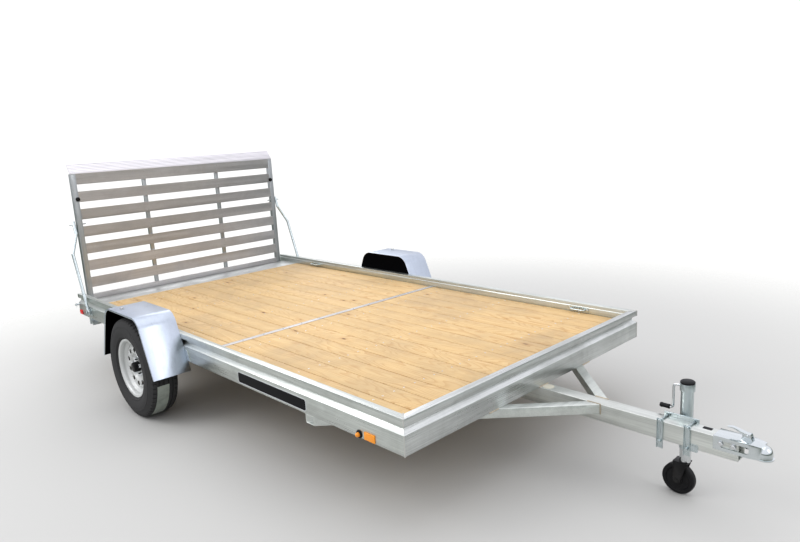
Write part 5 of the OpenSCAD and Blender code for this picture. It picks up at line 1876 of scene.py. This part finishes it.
@dataclass
class Lights(Assembly):
    """Marker lights, reflectors and tail lamps."""

    lamp_near: float = 0.736
    lamp_far: float = 0.846
    lamp_half_z: float = 0.028

    def build(self) -> None:
        """Builds the lights."""
        self.shop.soften("amber_lights", "frame", "amber_lens", Palette.AMBER, 0.0015)
        self.shop.soften("red_lights", "frame", "red_lens", Palette.RED, 0.0015)
        self.grommets()
        self.lamp_cases()

    def grommets(self) -> None:
        """Black rubber rings around the bullet lights."""
        low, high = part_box("amber_lights")
        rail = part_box("side_rail_left")[1].y
        shape = bmesh.new()
        for side in Side:
            ring = bmesh.new()
            profile = [(0.0108, rail), (0.019, rail), (0.020, rail + 0.002), (0.017, rail + 0.006),
                       (0.0112, rail + 0.007)]
            lathe(ring, profile, 32)
            place = (low.x + 0.011, 0.0, (low.z + high.z) / 2.0 - 0.005)
            bmesh.ops.translate(ring, vec=place, verts=ring.verts)
            merged(shape, sided(ring, side))
        self.shop.publish(to_object("marker_grommets", shape), "frame", "black_steel", Palette.PLASTIC)

    def lamp_cases(self) -> None:
        """Black cases around the tail lamps."""
        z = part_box("red_lights")[0].z + self.lamp_half_z
        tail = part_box("tail_plate")[0].x
        middle, half = (self.lamp_near + self.lamp_far) / 2.0, (self.lamp_far - self.lamp_near) / 2.0
        shape = bmesh.new()
        for side in Side:
            outer = self.stadium(side.value * middle, z, half, self.lamp_half_z + 0.006)
            inner = self.stadium(side.value * middle, z, half, self.lamp_half_z + 0.0005)
            self.frame_ring(shape, outer, inner, tail - 0.006, tail - 0.0002)
        self.shop.publish(to_object("lamp_cases", shape), "frame", "black_steel", Palette.PLASTIC)

    @staticmethod
    def stadium(y: float, z: float, half: float, radius: float) -> Points:
        """A flat outline with round ends."""
        return arc((y + half, z), radius, -90, 90, 14) + arc((y - half, z), radius, 90, 270, 14)

    @staticmethod
    def frame_ring(shape: BMesh, outer: Outline, inner: Outline, start: float, end: float) -> None:
        """Adds a closed ring between two outlines in Y and Z, from one X to another."""
        loops = [[shape.verts.new((x, *p)) for p in line] for line in (outer, inner) for x in (start, end)]
        outer_a, outer_b, inner_a, inner_b = loops
        for first, second in ((outer_a, outer_b), (outer_b, inner_b), (inner_b, inner_a), (inner_a, outer_a)):
            for i in range(len(first)):
                j = (i + 1) % len(first)
                shape.faces.new((first[i], first[j], second[j], second[i]))


@dataclass
class Studio:
    """The pale floor, the backdrop, the soft lights and the camera."""

    eye: tuple[float, float, float] = (3.281, -2.783, 1.743)
    azimuth_deg: float = 46.487
    elevation_deg: float = 11.8094
    roll_deg: float = -3.1394
    lens: float = 29.68
    sensor: float = 36.0
    floor_half: float = 8.0
    fade: tuple[float, float] = (2.2, 6.5)
    lamps: list[tuple[str, Point, Point, float, float]] = field(default_factory=lambda: [
        ("key", (-3.5, -5.5, 5.5), (-0.6, 0.0, 0.4), 4.0, 150.0),
        ("front", (7.5, 1.0, 4.5), (0.8, 0.0, 0.4), 3.0, 70.0),
        ("rear", (-7.0, 3.0, 4.5), (-1.0, 0.0, 0.8), 4.0, 60.0),
        ("sky", (0.0, 0.0, 7.0), (0.0, 0.0, 0.0), 7.0, 60.0),
    ])

    def build(self) -> None:
        """Sets the studio up."""
        self.floor()
        self.world()
        for name, place, aim, size, power in self.lamps:
            data = bpy.data.lights.new(name, "AREA")
            data.shape = "SQUARE"
            data.size = size
            data.energy = power
            lamp = bpy.data.objects.new(name, data)
            lamp.location = place
            lamp.rotation_euler = (Vector(aim) - Vector(place)).to_track_quat("-Z", "Y").to_euler()
            bpy.context.scene.collection.objects.link(lamp)
        self.camera()

    def floor(self) -> None:
        """A wide plain floor."""
        shape = bmesh.new()
        half = self.floor_half
        corners = ((-half, -half), (half, -half), (half, half), (-half, half))
        shape.faces.new([shape.verts.new((x, y, 0.0)) for x, y in corners])
        floor = to_object("floor", shape)
        floor.data.materials.append(self.floor_paint())

    def floor_paint(self) -> Material:
        """A pale paint that fades into the backdrop away from the trailer."""
        paint = Finish("floor_paint", (0.52, 0.52, 0.50), 0.9).material()
        tree = paint.node_tree
        place = tree.nodes.new("ShaderNodeTexCoord").outputs["Object"]
        reach = add_node(tree, "ShaderNodeVectorMath", {0: place}, operation="LENGTH").outputs["Value"]
        near, far = self.fade
        share = add_node(
            tree, "ShaderNodeMapRange", {"Value": reach, "From Min": near, "From Max": far},
            interpolation_type="SMOOTHSTEP",
        ).outputs[0]
        clear = tree.nodes.new("ShaderNodeBsdfTransparent").outputs[0]
        solid = tree.nodes["Principled BSDF"].outputs[0]
        mix = add_node(tree, "ShaderNodeMixShader", {0: share, 1: solid, 2: clear})
        tree.links.new(mix.outputs[0], tree.nodes["Material Output"].inputs["Surface"])
        return paint

    @staticmethod
    def world() -> None:
        """A white backdrop to the eye. Other rays meet a sky that darkens towards the horizon."""
        world = bpy.data.worlds.new("surround")
        world.use_nodes = True
        tree = world.node_tree
        place = tree.nodes.new("ShaderNodeTexCoord").outputs["Generated"]
        height = add_node(tree, "ShaderNodeSeparateXYZ", {"Vector": place}).outputs["Z"]
        share = add_node(
            tree, "ShaderNodeMapRange", {"Value": height, "From Min": -0.02, "From Max": 0.16},
            interpolation_type="SMOOTHSTEP",
        ).outputs[0]
        sky = Finish.blend(tree, share, (0.10, 0.13, 0.10), (0.95, 0.95, 1.0))
        seen = tree.nodes.new("ShaderNodeLightPath").outputs["Is Camera Ray"]
        light = tree.nodes["Background"]
        tree.links.new(Finish.blend(tree, seen, sky, (0.93, 0.93, 0.92)), light.inputs["Color"])
        light.inputs["Strength"].default_value = 1.0
        bpy.context.scene.world = world
        bpy.context.scene.view_settings.view_transform = "Standard"
        bpy.context.scene.view_settings.look = "Medium High Contrast"

    def camera(self) -> None:
        """The camera, low ahead of the right front corner."""
        azimuth, elevation = math.radians(self.azimuth_deg), math.radians(self.elevation_deg)
        back = Vector((math.sin(azimuth) * math.cos(elevation), -math.cos(azimuth) * math.cos(elevation),
                       math.sin(elevation)))
        level = (-back).to_track_quat("-Z", "Y")
        data = bpy.data.cameras.new("camera")
        data.lens = self.lens
        data.sensor_width = self.sensor
        data.clip_end = 200.0
        camera = bpy.data.objects.new("camera", data)
        camera.rotation_mode = "QUATERNION"
        camera.rotation_quaternion = level @ Quaternion((0.0, 0.0, 1.0), math.radians(self.roll_deg))
        camera.location = self.eye
        bpy.context.scene.collection.objects.link(camera)
        bpy.context.scene.camera = camera


def record_sizes() -> None:
    """Defines a helper that turns a pair of corners into plain numbers; nothing is written."""
    def plain(pair: Any) -> list[list[float]]:
        """A pair of corners as plain numbers."""
        return [[float(value) for value in corner] for corner in pair]


def main() -> None:
    """Loads the frame, builds every sub-assembly and reports."""
    logging.basicConfig(level=logging.INFO, format="%(name)s: %(message)s")
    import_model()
    Studio().build()
    shop = Workshop()
    groups: list[Assembly] = [Bed(shop), Deck(shop), Tongue(shop), Coupler(shop), Jack(shop), Axle(shop)]
    for side in Side:
        groups += [Wheel(shop, side), Fender(shop, side)]
    groups += [Tailgate(shop), Supports(shop), Lights(shop)]
    for group in groups:
        group.build()
    LOG.info("%d pieces published", shop.count)
    record_sizes()


if __name__ == "__main__":
    main()
